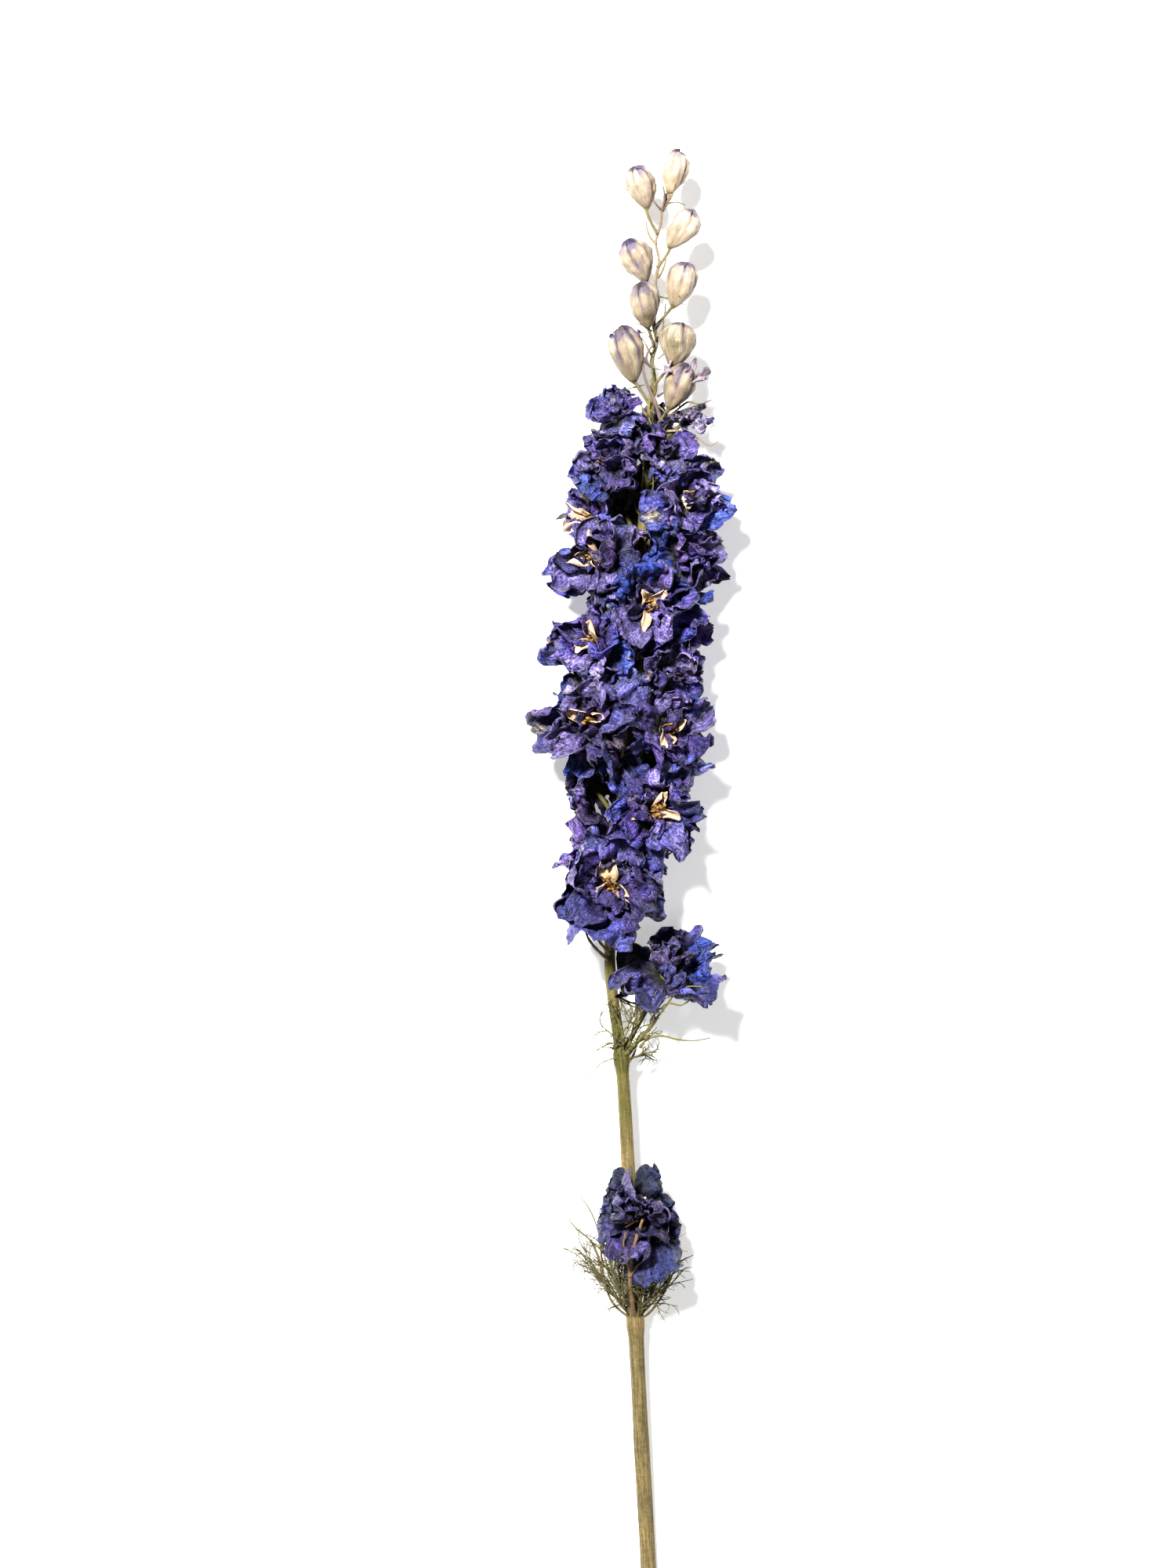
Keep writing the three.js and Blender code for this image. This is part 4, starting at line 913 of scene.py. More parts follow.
def clear_of_stem(points, gap):
    middle, radius = stem_below(points)
    away = points - middle
    apart = np.maximum(np.linalg.norm(away, axis=-1), 1e-3)
    return middle + away * np.maximum(1, (radius + gap) / apart)[..., None]


def painted_depth_shade(points):
    """Painted shade: from 0.22 close to the stem to 1 on the outside of the spike."""
    middle, _ = stem_below(points)
    return 0.22 + 0.78 * smooth_step(3.0, 13.5, np.linalg.norm(points - middle, axis=-1))


print("shade 8 mm from the stem:", round(float(painted_depth_shade(stem_at(0)[0] + UP * 8)), 2))

# %% [markdown]
# A petal isn't the same everywhere on the spike. Under the spike it is pressed flat by the weight, and the
# upper ones fall back over their stalk. Where the heart is hidden, the core petals closed over it. And a
# petal that would be far too long for its room grew shorter. These changes are made to its traits, before
# its sheet is made.

# %% Fit a petal's traits to its place
FIRST_HEART = 4  # the blooms before this one are too young to show a heart
CORE_RADIUS = 1.9
CRUMPLED = 1.2  # how much longer than its room a petal may be; the rest goes into crumple
CLOSED_BEND = math.radians(75)
CLOSED_RISE = math.radians(16)
REFLEXED = math.radians(50)


def close_over_heart(shape, veil):
    shape["rise"] += CLOSED_RISE * veil
    shape["bend"] += (CLOSED_BEND - shape["bend"]) * veil
    shape["long"] *= 1 + 0.45 * veil
    shape["half_width"] *= 1 + 0.5 * veil


def press_down(shape, whorl_name, facing, outward):
    pressed = float(np.clip(-facing[2] * 1.3, 0, 1))
    shape["rise"] *= 1 - pressed * WHORLS[whorl_name]["flattened"]
    shape["bend"] *= 1 - pressed * 0.9
    if whorl_name == "outer" and facing[2] < 0.1:
        fallen = REFLEXED * float(np.clip(outward[2] * 1.5, 0, 1))
        shape["rise"] -= fallen
        shape["between"][0] -= fallen
        shape["between"][1] -= fallen * 0.7


def fit_to_room(shape, start, grid, own, borders):
    tip = keep_in_slice(petal_sheet(shape, start, *grid)[0], shape)[-1, grid[0] // 2] @ own
    room = min(1, CRUMPLED * float(room_along(unit(tip)[None], borders)[0]) / float(np.linalg.norm(tip)))
    shape["long"] *= room
    shape["half_width"] *= math.sqrt(room)


print("blooms with a heart:", len(BLOOMS) - FIRST_HEART)

# %% [markdown]
# Now one petal is placed in its bloom: its sheet is made, held in its slice, drawn in at loose borders,
# crumpled, and drawn in once more at firm ones, so that no crest of the crumple sticks out. The tint is
# lightened on the crests as a painted highlight and darkened in the furrows as painted shade, and since a
# crest of the face is a furrow of the back, the two faces are painted the opposite way. The tint is also
# darkened near the bloom's knot and towards the stem, as painted shade.

# %% One petal of a bloom
PETAL_THICKNESS = 0.14
SLEEVE = 0.45


def crumple_of(shape, index, uu, vv, along):
    """Height of the dry creases: small ones all over, and long ones that fan from the claw."""
    seat = np.stack([uu * shape["half_width"], vv * shape["long"], np.full_like(uu, shape["id"] * 5.3)], -1)
    fanned = seat * np.array([1 / 1.8, 1 / 4.5, 1])
    crumple = 0.72 * crease(seat / 3.1, 12) + 0.42 * crease(fanned, 13)
    return crumple * np.clip(along * 3, 0, 1) * (1 if draw(0, 1, index, shape["id"], 66) > 0.4 else -1)


def add_petal(gather, bloom, index, whorl_name, k, frame_of, loose, firm):
    shape = petal_shape(bloom, index, whorl_name, k)
    if whorl_name == "core":
        close_over_heart(shape, bloom.get("veiled", 0 if index >= FIRST_HEART else 1))
    outward = frame_of["upper"] * math.cos(shape["around"]) + frame_of["across"] * math.sin(shape["around"])
    own = np.stack([outward, np.cross(frame_of["facing"], outward), frame_of["facing"]])
    press_down(shape, whorl_name, frame_of["facing"], outward)
    start = CORE_RADIUS * bloom["size"] * WHORLS[whorl_name]["start"]
    grid = WHORLS[whorl_name]["grid"]
    fit_to_room(shape, start, grid, own, loose)
    points, uu, vv, along = petal_sheet(shape, start, *grid)
    arms = keep_inside(keep_in_slice(points, shape) @ own, loose, 5)
    crumple = crumple_of(shape, index, uu, vv, along)
    arms = keep_inside(arms + grid_normals(arms) * crumple[..., None], firm, 9)
    points = clear_of_stem(frame_of["knot"] + arms, SLEEVE)
    face, back = petal_tints(bloom, index, shape, whorl_name, uu, along)
    # painted highlight on the crests and painted shade in the furrows of the crumple
    crest_and_furrow_shade = np.clip(0.42 * crumple, -0.5, 0.55)[..., None]
    # painted shade near the bloom's knot and towards the stem
    knot_shade = 0.4 + 0.6 * smooth_step(1.5, 8.5 * bloom["size"], np.linalg.norm(arms, axis=-1))
    painted_shade = (painted_depth_shade(points) * knot_shade)[..., None]
    petal = np.full_like(uu, shape["id"] * 1.7)
    places = np.stack([uu * shape["half_width"], along * shape["long"], petal], -1)
    add_sheet(gather, points, PETAL_THICKNESS, face * painted_shade * (1 + crest_and_furrow_shade), back * painted_shade * (1 - crest_and_furrow_shade), places)


sample = Gather()
add_petal(sample, BLOOMS[12], 12, "outer", 0, bloom_frame(BLOOMS[12]), middle_borders, middle_borders)
print("points of one outer petal:", sample.count)

# %% [markdown]
# Behind the upper petal every delphinium bloom has its spur, a thin wrinkled horn, and all petals sit on a
# small knot at the end of the stalk. The spur is a tube with soft ridges along a bent path, and the knot a
# flat ball.

# %% Spur and knot
SPUR = [(1.4, -2.2), (3.4, -4.2), (6.2, -5.8), (8.6, -6.6)]  # outwards and forwards from the knot
SPUR_RADII = [1.0, 0.8, 0.95, 0.85, 0.5]
SPUR_POINTS = 15


def smooth_path(path, count, rounds=1):
    """A line of evenly spread points along a path, with its corners rounded off."""
    t = np.linspace(0, len(path) - 1, count)
    line = np.stack([np.interp(t, np.arange(len(path)), path[:, c]) for c in range(3)], -1)
    for _ in range(rounds):
        line[1:-1] = (line[:-2] + 2 * line[1:-1] + line[2:]) / 4
    return line


def add_spur(gather, bloom, index, frame_of, firm):
    lean = draw(-0.3, 0.3, index, 0, 21)
    arms = [frame_of["facing"] * -0.3]
    for outwards, forwards in SPUR:
        sideways = frame_of["across"] * (outwards - 2) * lean
        arms.append(frame_of["upper"] * outwards + frame_of["facing"] * forwards + sideways)
    arms = keep_inside(np.array(arms) * bloom["size"], firm, 8) + frame_of["knot"]
    t = np.linspace(0, len(arms) - 1, SPUR_POINTS)
    radii = np.interp(t, np.arange(len(arms)), SPUR_RADII) * bloom["size"]
    radii = radii * (1 + 0.12 * np.sin(np.arange(SPUR_POINTS) * 1.9 + index))
    tint = blend_tint(DEEP_VIOLET, OLIVE, 0.15 + 0.6 * np.linspace(0, 1, SPUR_POINTS + 2))
    add_tube(gather, smooth_path(arms, SPUR_POINTS), radii, 10, tint, part=index, ridge=0.14, ridges=5)


def add_knot(gather, bloom, frame_of):
    rows, columns = 7, 12
    rises = np.linspace(-math.pi / 2 + 0.05, math.pi / 2 - 0.05, rows)
    angles = 2 * math.pi * np.arange(columns) / columns
    ring = np.outer(np.cos(angles), frame_of["upper"]) + np.outer(np.sin(angles), frame_of["across"])
    ring = ring * (CORE_RADIUS * bloom["size"])
    ahead = frame_of["facing"]
    points = [frame_of["knot"] + ring * math.cos(a) + ahead * math.sin(a) * (BLADE + SPARE) for a in rises]
    gather.add(np.concatenate(points), grid_faces(rows, columns, closed=True), OLIVE * 0.6, (0, 0, 0))


print("length of a spur in mm:", round(math.hypot(*SPUR[-1]), 1))

# %% [markdown]
# A bloom is put together as it grew: its three whorls of petals, its spur and its knot. One mesh holds a
# whole bloom, because its petals are joined at the knot, and it stands for the solid of that bloom. Its
# petals may reach a few millimetres in among those of the next bloom, as they do on the plant, or a gap
# would show between the two.

# %% Build the blooms
OVERLAP = 3.0  # how far petals reach in among those of the next bloom
FIRMER = 1.2  # crests of the crumple may reach a little further
PRESSED = 1.4  # how far under the table petals may start, to be pressed flat on it
THIN_TOP = 62  # above this y the petals keep to their own side of the stem


def dress_bloom(index, bloom):
    node = f"bloom_{index + 1:02d}"
    frame_of = bloom_frame(bloom)
    thin_top = bloom["y"] > THIN_TOP
    loose = borders_of(bloom, index, RESTING - PRESSED, OVERLAP, thin_top)
    firm = borders_of(bloom, index, RESTING, OVERLAP * FIRMER, thin_top)
    gather = Gather()
    for k in range(WHORL_PETALS):
        for whorl_name in WHORLS:
            add_petal(gather, bloom, index, whorl_name, k, frame_of, loose, firm)
    add_spur(gather, bloom, index, frame_of, firm)
    add_knot(gather, bloom, frame_of)
    piece = gather.mesh(node + "_petals", petal_finish)
    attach(piece, "root")
    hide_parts(node)
    return piece


bloom_pieces = [dress_bloom(index, bloom) for index, bloom in enumerate(BLOOMS)]
print("faces in a bloom:", len(bloom_pieces[0].data.polygons))

# %% [markdown]
# The heart of an open bloom is pale: two or three small cupped petals, brown at the claw and torn at the
# tip, with a violet stain here and there. They are built from angles as the large petals are, but with one
# uneven bend along and one uneven curl across, because they are too short to fold.

# %% Pale petals of a heart
CREAM = srgb(0.86, 0.76, 0.67)
TAN = srgb(0.74, 0.59, 0.42)
OCHRE = srgb(0.64, 0.51, 0.28)
BROWN = srgb(0.42, 0.30, 0.14)
PALE_GRID = (13, 16)


def pale_sheet(bloom, index, k):
    """How far outwards, sideways and forwards a pale petal reaches, and its places across and along."""
    columns, rows = PALE_GRID
    u, v = np.meshgrid(np.linspace(-1, 1, columns), np.linspace(0, 1, rows))
    wide = math.sqrt(bloom["size"])
    long = wide * draw(4.2, 7.8, index, k, 81) * (1 - 0.4 * bloom.get("veiled", 0)) * bloom.get("pale", 1)
    half = wide * draw(1.4, 2.7, index, k, 82) * bloom.get("pale", 1)
    bend = math.radians(draw(-115, 60, index, k, 83))
    rise = math.radians(draw(52, 80, index, k, 84))
    cleft = 1 - 0.1 * np.exp(-((u / 0.3) ** 2)) * draw(0, 1, index, k, 85)
    torn = 1 + 0.14 * rough(np.stack([u * 3.2, np.full_like(u, index * 5 + k), np.zeros_like(u)], -1), 24)
    reach = v * (cleft * (1 - 0.25 * u**2) * torn)
    wavy = rough(np.stack([u * 1.2, reach * 3.5, np.full_like(u, index * 3 + k * 5)], -1), 25)
    angle = rise + bend * reach**1.5 + 0.55 * wavy * reach
    width = half * (0.25 + 0.75 * np.sin(2.6 * np.clip(reach, 0, 1.15)) ** 1.1)
    uneven = rough(np.stack([u * 2, reach * 3, np.full_like(u, index * 7 + k)], -1), 14)
    curl = draw(0.9, 2.1, index, k, 87) * u * (0.5 + reach) + 0.5 * uneven
    lying, rising = fold_across(curl, width, 2 / (columns - 1))
    outwards = 0.7 * bloom["size"] + long * add_up(np.cos(angle), np.diff(reach, axis=0))
    forwards = 0.9 + long * add_up(np.sin(angle), np.diff(reach, axis=0))
    return (outwards - rising * np.sin(angle), lying, forwards + rising * np.cos(angle)), (u, v, reach)


def pale_tints(index, k, u, v, reach):
    mottled = rough(np.stack([u * 2, reach * 3, np.full_like(u, index + k * 9)], -1), 15)
    face = blend_tint(CREAM, TAN, np.clip(0.25 + 0.5 * mottled + 0.3 * (1 - v), 0, 1))
    face = blend_tint(face, BROWN, 0.55 * (1 - smooth_step(0.0, 0.3, v)))
    stained = smooth_step(0.25, 0.9, mottled) * smooth_step(0.3, 0.9, np.abs(u))
    face = blend_tint(face, DEEP_VIOLET, 0.55 * stained)
    streak = np.exp(-((u / 0.3) ** 2)) * smooth_step(0.2, 0.6, v) * draw(0, 0.6, index, k, 86)
    return blend_tint(face, OLIVE, streak), blend_tint(face, BUFF, 0.3)


def add_pale_petal(gather, bloom, index, k, aim, frame_of, borders):
    (outwards, sideways, forwards), (u, v, reach) = pale_sheet(bloom, index, k)
    outward = frame_of["upper"] * math.cos(aim) + frame_of["across"] * math.sin(aim)
    tangent = np.cross(frame_of["facing"], outward)
    arms = (
        outwards[..., None] * outward + sideways[..., None] * tangent
        + forwards[..., None] * frame_of["facing"]
    )
    arms = keep_inside(arms, borders, 8)
    face, back = pale_tints(index, k, u, v, reach)
    places = np.stack([u * 2.0, reach * 6, np.full_like(u, index * 3.1 + k)], -1)
    add_sheet(gather, frame_of["knot"] + arms, PETAL_THICKNESS, face, back, places)


print("cream as light values:", np.round(CREAM, 3))

# %% [markdown]
# In the middle stands a brush of stamens: thin bent threads that end in swollen ochre heads, which
# shrivelled as they dried. A thread and its head are one tube each. Particles would scatter them faster,
# but they have no roots, and each real thread starts from the same small boss.

# %% Stamens
STAMENS = 11
STAMEN_STEPS = 7
HEAD_PLACES = (-0.12, 0.02, 0.25, 0.55, 0.8, 0.92)  # along a stamen's head, from the end of its thread
HEAD_RADII = np.array([0.12, 0.34, 0.4, 0.3, 0.36, 0.1])


def curve_through(start, pull, end, steps):
    """A bent line from start to end that leaves towards the pull point and arrives from it."""
    t = np.linspace(0, 1, steps + 1)[:, None]
    return (1 - t) ** 2 * start + 2 * (1 - t) * t * pull + t**2 * end


def add_stamens(gather, bloom, index, frame_of, borders):
    size = bloom["size"]
    for k in range(STAMENS):
        aim = draw(0, 2 * math.pi, index, k, 91)
        spread = draw(0.2, 1.7, index, k, 92) * size
        tall = draw(2.2, 4.6, index, k, 93) * size
        outward = frame_of["upper"] * math.cos(aim) + frame_of["across"] * math.sin(aim)
        sideways = np.cross(frame_of["facing"], outward) * draw(-0.7, 0.7, index, k, 94)
        foot = outward * 0.35 * size + frame_of["facing"] * 0.9
        end = outward * spread + frame_of["facing"] * (1.2 + tall) + sideways
        pull = outward * spread * draw(0.9, 1.6, index, k, 95) + frame_of["facing"] * (1 + tall * 0.55)
        line = keep_inside(curve_through(foot, pull, end, STAMEN_STEPS), borders, 8) + frame_of["knot"]
        thread = blend_tint(TAN, OCHRE, np.linspace(0, 1, STAMEN_STEPS + 3) * 0.7)
        add_tube(gather, line, np.linspace(0.2, 0.13, STAMEN_STEPS + 1) * size, 6, thread, part=k)
        way = unit(line[-1] - line[-3])
        head = [line[-1] + way * s * size for s in HEAD_PLACES]
        swell = HEAD_RADII * size * draw(0.6, 1.1, index, k, 96)
        tint = blend_tint(OCHRE, BROWN, draw(0, 0.65, index, k, 97))
        add_tube(gather, head, swell, 8, tint, part=k, ridge=0.2, ridges=2)


print("stamens in a heart:", STAMENS)

# %% [markdown]
# A heart is a piece of its own, because it holds together by itself on its boss and has a skin of its own.
# It is kept inside the same borders as its bloom, but without the few millimetres of overlap, so it never
# sticks out.

# %% Build the hearts
BOSS_PLACES = (0.75, 0.9, 1.3, 1.9, 2.3)  # ahead of the knot
BOSS_RADII = np.array([0.5, 0.8, 0.9, 0.7, 0.3])
THREE_PETALS = (0.5, 1.9, 3.6)  # where they stand round the heart, in fifths of a turn
TWO_PETALS = (0.5, 2.6)


def dress_heart(index, bloom):
    node = f"heart_{index + 1:02d}"
    frame_of = bloom_frame(bloom)
    borders = borders_of(bloom, index, RESTING)
    turn = draw(0, 2 * math.pi, index, 0, 52)
    gather = Gather()
    for k, place in enumerate(THREE_PETALS if draw(0, 1, index, 3, 98) > 0.4 else TWO_PETALS):
        add_pale_petal(gather, bloom, index, k, turn + place / 5 * 2 * math.pi, frame_of, borders)
    add_stamens(gather, bloom, index, frame_of, borders)
    boss = [frame_of["knot"] + frame_of["facing"] * ahead * bloom["size"] for ahead in BOSS_PLACES]
    add_tube(gather, boss, BOSS_RADII * bloom["size"], 10, BROWN, part=index)
    piece = gather.mesh(node + "_stamens", heart_finish)
    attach(piece, "root")
    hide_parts(node)
    return piece


heart_pieces = [dress_heart(i, b) for i, b in enumerate(BLOOMS) if i >= FIRST_HEART]
print("hearts:", len(heart_pieces), "with", len(heart_pieces[0].data.polygons), "faces in the first")

# %% [markdown]
# A dried bud keeps its five folded petals shut over one another. The shell is an egg, blunt at the tip,
# whose radius swells under each petal and sinks at each seam, and the seams twist a little. A lathe would
# turn the plain egg, but the seams, dents and fine crests all change with the turn, so the radius is a
# formula of turn and height.

# %% The shell of a bud
BUD_GRID = (50, 34)  # points round a bud and along it
FOLDED_PETALS = 5
EGG_HEIGHTS = [0, 0.02, 0.13, 0.36, 0.62, 0.83, 0.94, 0.985, 1]
EGG_RADII = [0.0, 0.2, 0.46, 0.84, 1.0, 0.86, 0.58, 0.3, 0.0]
ROOTED = 0.3  # how far a bud starts below its base, inside its stalk


def round_place(turn, height, across, upwards, shift):
    """Places for roughness that close round a bud."""
    return np.stack([np.cos(turn) * across, np.sin(turn) * across, height * upwards + shift], -1)


def bud_places(index):
    """The turn and height of each point, and how far the folded petals have twisted there."""
    columns, rows = BUD_GRID
    height = 0.5 - 0.5 * np.cos(math.pi * np.linspace(0, 1, rows))
    turn, height = np.meshgrid(2 * math.pi * np.arange(columns) / columns, height)
    return turn, height, turn + 0.5 * height + draw(0, 6, index, 0, 101)


def on_petal(twist):
    """How far across its own folded petal each point lies, from 0 to 1, with the seam at a half."""
    return (twist * FOLDED_PETALS / (2 * math.pi)) % 1


def near_seam(twist, width):
    return np.exp(-(((on_petal(twist) - 0.5) / width) ** 2))


def bud_directions(bud):
    """A bud's frame, and two directions across its axis."""
    shape = bud_frame(bud)
    side = unit(shape["outward"] - shape["axis"] * (shape["outward"] @ shape["axis"]))
    return shape, side, np.cross(shape["axis"], side)


def bud_surface(bud, index, turn, height, twist):
    shape, side, other = bud_directions(bud)
    seam = near_seam(twist, 0.07)
    rib = np.exp(-((((on_petal(twist) + 0.5) % 1 - 0.5) / 0.09) ** 2))
    over = (on_petal(twist) - 0.5) * 0.07
    wrinkle = rough(round_place(turn, height, 2.2, 5, index * 9), 16)
    fine = crease(round_place(turn, height, 5, 7, index * 5), 17)
    tip = smooth_step(0.8, 1.0, height)
    depth = draw(0.05, 0.16, index, 0, 102) * smooth_step(0.0, 0.4, height)
    dented = 0.12 * wrinkle + 0.015 * fine * smooth_step(0.1, 0.5, height)
    egg = bud["wide"] / 2 * np.interp(height, EGG_HEIGHTS, EGG_RADII)
    radius = egg * (1 - depth * seam - 0.16 * tip * seam + 0.03 * rib + over + dented)
    ragged = tip * (0.55 * wrinkle - 0.9 * seam + 0.3 * fine)
    lengthwise = height * (bud["long"] + ROOTED) - ROOTED + ragged
    return (
        shape["base"] + lengthwise[..., None] * shape["axis"]
        + (radius * np.cos(turn))[..., None] * side + (radius * np.sin(turn))[..., None] * other
    )


print("points of a bud:", BUD_GRID[0] * BUD_GRID[1])

# %% [markdown]
# Cream with a violet flush along the seams in the upper half is what makes it read as the bud of a blue
# flower. The flush differs from petal to petal and from bud to bud, the tip is dark, the foot is green, and
# the lower buds are greener all over.

# %% The tint of a bud
BUD_CREAM = srgb(0.70, 0.645, 0.58)
BUD_TAN = srgb(0.60, 0.535, 0.445)
BUD_FLUSH = srgb(0.385, 0.335, 0.50)
BUD_TIP = srgb(0.20, 0.155, 0.31)
LINED = {6: 0.9}  # a bud that has violet on every seam, and how much


def petal_weight(twist, index):
    """A repeatable weight for each of the five folded petals, so that some seams stay cream."""
    petal = np.floor(twist * FOLDED_PETALS / (2 * math.pi)) % FOLDED_PETALS
    return np.clip(0.5 + 0.9 * np.sin(2.4 * petal + 1.7 * index), 0, 1)


def flush_of(index, age, blotched, height, twist):
    """How much violet shows: along the seams, towards the tip, and in blotches."""
    striped = near_seam(twist, 0.085) * np.maximum(petal_weight(twist, index), LINED.get(index, 0))
    flush = age * striped * smooth_step(0.15, 0.55, height) * (0.9 + 0.8 * blotched)
    flush = flush + age * smooth_step(0.68, 0.95, height) * np.clip(0.55 + 0.9 * blotched, 0, 1)
    return flush + age * 0.55 * smooth_step(0.0, 0.5, blotched) * smooth_step(0.1, 0.6, height)


def bud_tint(bud, index, turn, height, twist):
    age = bud["flushed"]
    seam = near_seam(twist, 0.07)
    fine = crease(round_place(turn, height, 5, 7, index * 5), 17)
    mottled = rough(round_place(turn, height, 1.5, 3, index * 3), 18)
    blotched = rough(round_place(turn, height, 2.6, 4.5, index * 5), 21)
    tint = blend_tint(BUD_CREAM, BUD_TAN, np.clip(0.25 + 0.6 * mottled + 0.4 * (1 - height), 0, 1))
    tint = blend_tint(tint, BUD_FLUSH, np.clip(flush_of(index, age, blotched, height, twist), 0, 0.85))
    dark_seam = 0.5 * age * seam * smooth_step(0.45, 0.9, height)
    dark_tip = smooth_step(0.9, 0.98, height) * (0.55 + 0.45 * age)
    tint = blend_tint(tint, BUD_TIP, np.clip(dark_tip + dark_seam, 0, 0.92))
    green_base = 0.8 * (1 - smooth_step(0.02, 0.1, height))
    tint = blend_tint(tint, OLIVE, np.clip(bud["green"] * (0.45 + blotched) + green_base, 0, 0.85))
    # painted shade: darker in the sunken seams of the upper half and in the dips of the fine creases
    seam_shade = 0.3 * seam * smooth_step(0.3, 0.7, height)
    return tint * (1 - 0.22 * age - seam_shade - 0.08 * np.clip(-fine, 0, 1))[..., None]


print("flush from bud to bud:", [bud["flushed"] for bud in BUDS])

# %% [markdown]
# Two buds were about to open when the spike was cut, and ragged petal ends stand out of them. They are
# small petals made by the same function as the large ones, with traits of their own, set in a ring inside
# the shell.

# %% Petal ends of an opening bud
OPENING = {  # buds are counted from 0; foot is a share of the bud's length, and width one of its width
    6: {"count": 5, "long": 2.3, "flare": 78, "foot": 0.74, "width": 0.36, "flush": 0.9, "tip": 0.9},
    8: {"count": 6, "long": 6.4, "flare": 58, "foot": 0.6, "width": 0.3, "flush": 0.45, "tip": 0.5},
}
FIRST_END = 2000  # the numbers of petal ends start here, clear of those of the large petals
END_GRID = (15, 13)


def petal_end(opening, index, k):
    return {
        "id": FIRST_END + index * 20 + k,
        "rise": math.radians(opening["flare"] + draw(-14, 8, index, k, 111)),
        "bend": math.radians(draw(-50, 30, index, k, 112)),
        "long": opening["long"] * draw(0.8, 1.25, index, k, 113),
        "half_width": draw(1.3, 2.0, index, k, 114),
        "twist": draw(-0.6, 0.6, index, k, 115),
        "phase": draw(0, 6, index, k, 116),
        "tip_curl": draw(-1.6, 1.6, index, k, 117),
        "side_curl": draw(-1.5, 1.5, index, k, 118),
        "cup": 0.15, "wave": 0.5, "pleats": 0.8, "folds": 0.9, "keel": 0.3, "ruffle": 0.5,
    }


def add_opening(gather, bud, index):
    opening = OPENING[index]
    shape, side, other = bud_directions(bud)
    foot = shape["base"] + shape["axis"] * bud["long"] * opening["foot"]
    for k in range(opening["count"]):
        end = petal_end(opening, index, k)
        turn = 2 * math.pi * (k + draw(-0.25, 0.25, index, k, 119)) / opening["count"]
        radial = side * math.cos(turn) + other * math.sin(turn)
        own = np.stack([radial, np.cross(shape["axis"], radial), shape["axis"]])
        points, uu, _, along = petal_sheet(end, bud["wide"] * opening["width"], *END_GRID)
        tint = blend_tint(BUD_CREAM, BUD_FLUSH, smooth_step(0.1, 0.7, along) * opening["flush"])
        rim = smooth_step(0.6, 1.0, np.maximum(np.abs(uu), along))
        tint = blend_tint(tint, BUD_TIP, rim * opening["tip"])
        places = np.stack([uu * 2, along * 4, np.full_like(uu, end["id"])], -1)
        add_sheet(gather, foot + points @ own, PETAL_THICKNESS, tint, tint, places)


print("buds about to open:", [index + 1 for index in OPENING])

# %% [markdown]
# Each bud is one mesh, its shell with any petal ends, and stands for the solid of that bud.

# %% Build the buds
def dress_bud(index, bud):
    node = f"bud_{index + 1}"
    gather = Gather()
    turn, height, twist = bud_places(index)
    tint = bud_tint(bud, index, turn, height, twist)
    places = np.stack([on_petal(twist) * 3, height * 8, np.full_like(height, index * 2.0)], -1)
    points = bud_surface(bud, index, turn, height, twist)
    faces = grid_faces(*height.shape, closed=True)
    gather.add(points, faces, tint.reshape(-1, 3), places.reshape(-1, 3))
    if index in OPENING:
        add_opening(gather, bud, index)
    piece = gather.mesh(node + "_shell", bud_finish)
    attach(piece, "root")
    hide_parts(node)
    return piece


bud_pieces = [dress_bud(index, bud) for index, bud in enumerate(BUDS)]
print("buds:", len(bud_pieces))

# %% [markdown]
# The stem is one long tube with shallow ridges, a slight swelling where each stalk leaves it, and a larger
# one at the two joints that bear leaves. It is tan and grey at the cut end, olive in the middle and mauve
# among the buds. All that grows from it is gathered with it, so that it becomes one mesh, as it is one
# living body.

# %% The main stem
STEM_OLIVE = srgb(0.355, 0.34, 0.175)
STEM_TAN = srgb(0.53, 0.465, 0.325)
STEM_GREY = srgb(0.45, 0.405, 0.28)
STEM_MAUVE = srgb(0.54, 0.48, 0.45)
STEM_POINTS = 300
LEAF_JOINTS = ((-139, 0.25, 2.5), (-71, 0.3, 2.2))  # y, swelling, length
STALK_SWELLING = 0.16
BUDDED = 0.3  # how much slimmer the stem is among the buds


def with_ends(first, values, last):
    """Adds the two values that the tints of a tube need for its two ends."""
    return np.concatenate([[first], values, [last]])


def add_main_stem(gather):
    ys = np.linspace(STEM[0, 0], STEM_TIP, STEM_POINTS)
    middles, radii = zip(*(stem_at(y) for y in ys))
    line = np.array(middles)
    feet = np.array([row["y"] - row["drop"] for row in BLOOMS + BUDS])
    swell = sum(STALK_SWELLING * np.exp(-(((ys - foot) / 1.6) ** 2)) for foot in feet)
    for y, swelling, length in LEAF_JOINTS:
        swell = swell + swelling * np.exp(-(((ys - y) / length) ** 2))
    seats = np.column_stack([ys / 9, np.zeros(len(ys)), np.zeros(len(ys))])
    radii = np.array(radii) * (1 + np.minimum(swell, 0.3) + 0.03 * rough(seats, 19))
    slender = smooth_step(92, 108, ys) * (1 - smooth_step(146, 149, ys))
    radii = radii * (1 - BUDDED * slender)
    line[:, 0] += 0.45 * slender * np.sin(ys * 0.62 + 0.6)
    tint = blend_tint(STEM_GREY, STEM_OLIVE, with_ends(0, smooth_step(-160, -70, ys), 1))
    tint = blend_tint(tint, STEM_TAN, np.clip(0.2 + 0.55 * with_ends(0, rough(seats * 1.3, 20), 0), 0, 1))
    tint = blend_tint(tint, STEM_MAUVE, 0.6 * with_ends(0, smooth_step(95, 125, ys), 1))
    add_tube(gather, line, radii, 27, tint, ridge=0.045, ridges=9)


stem_gather = Gather()
add_main_stem(stem_gather)
print("points of the main stem:", stem_gather.count)

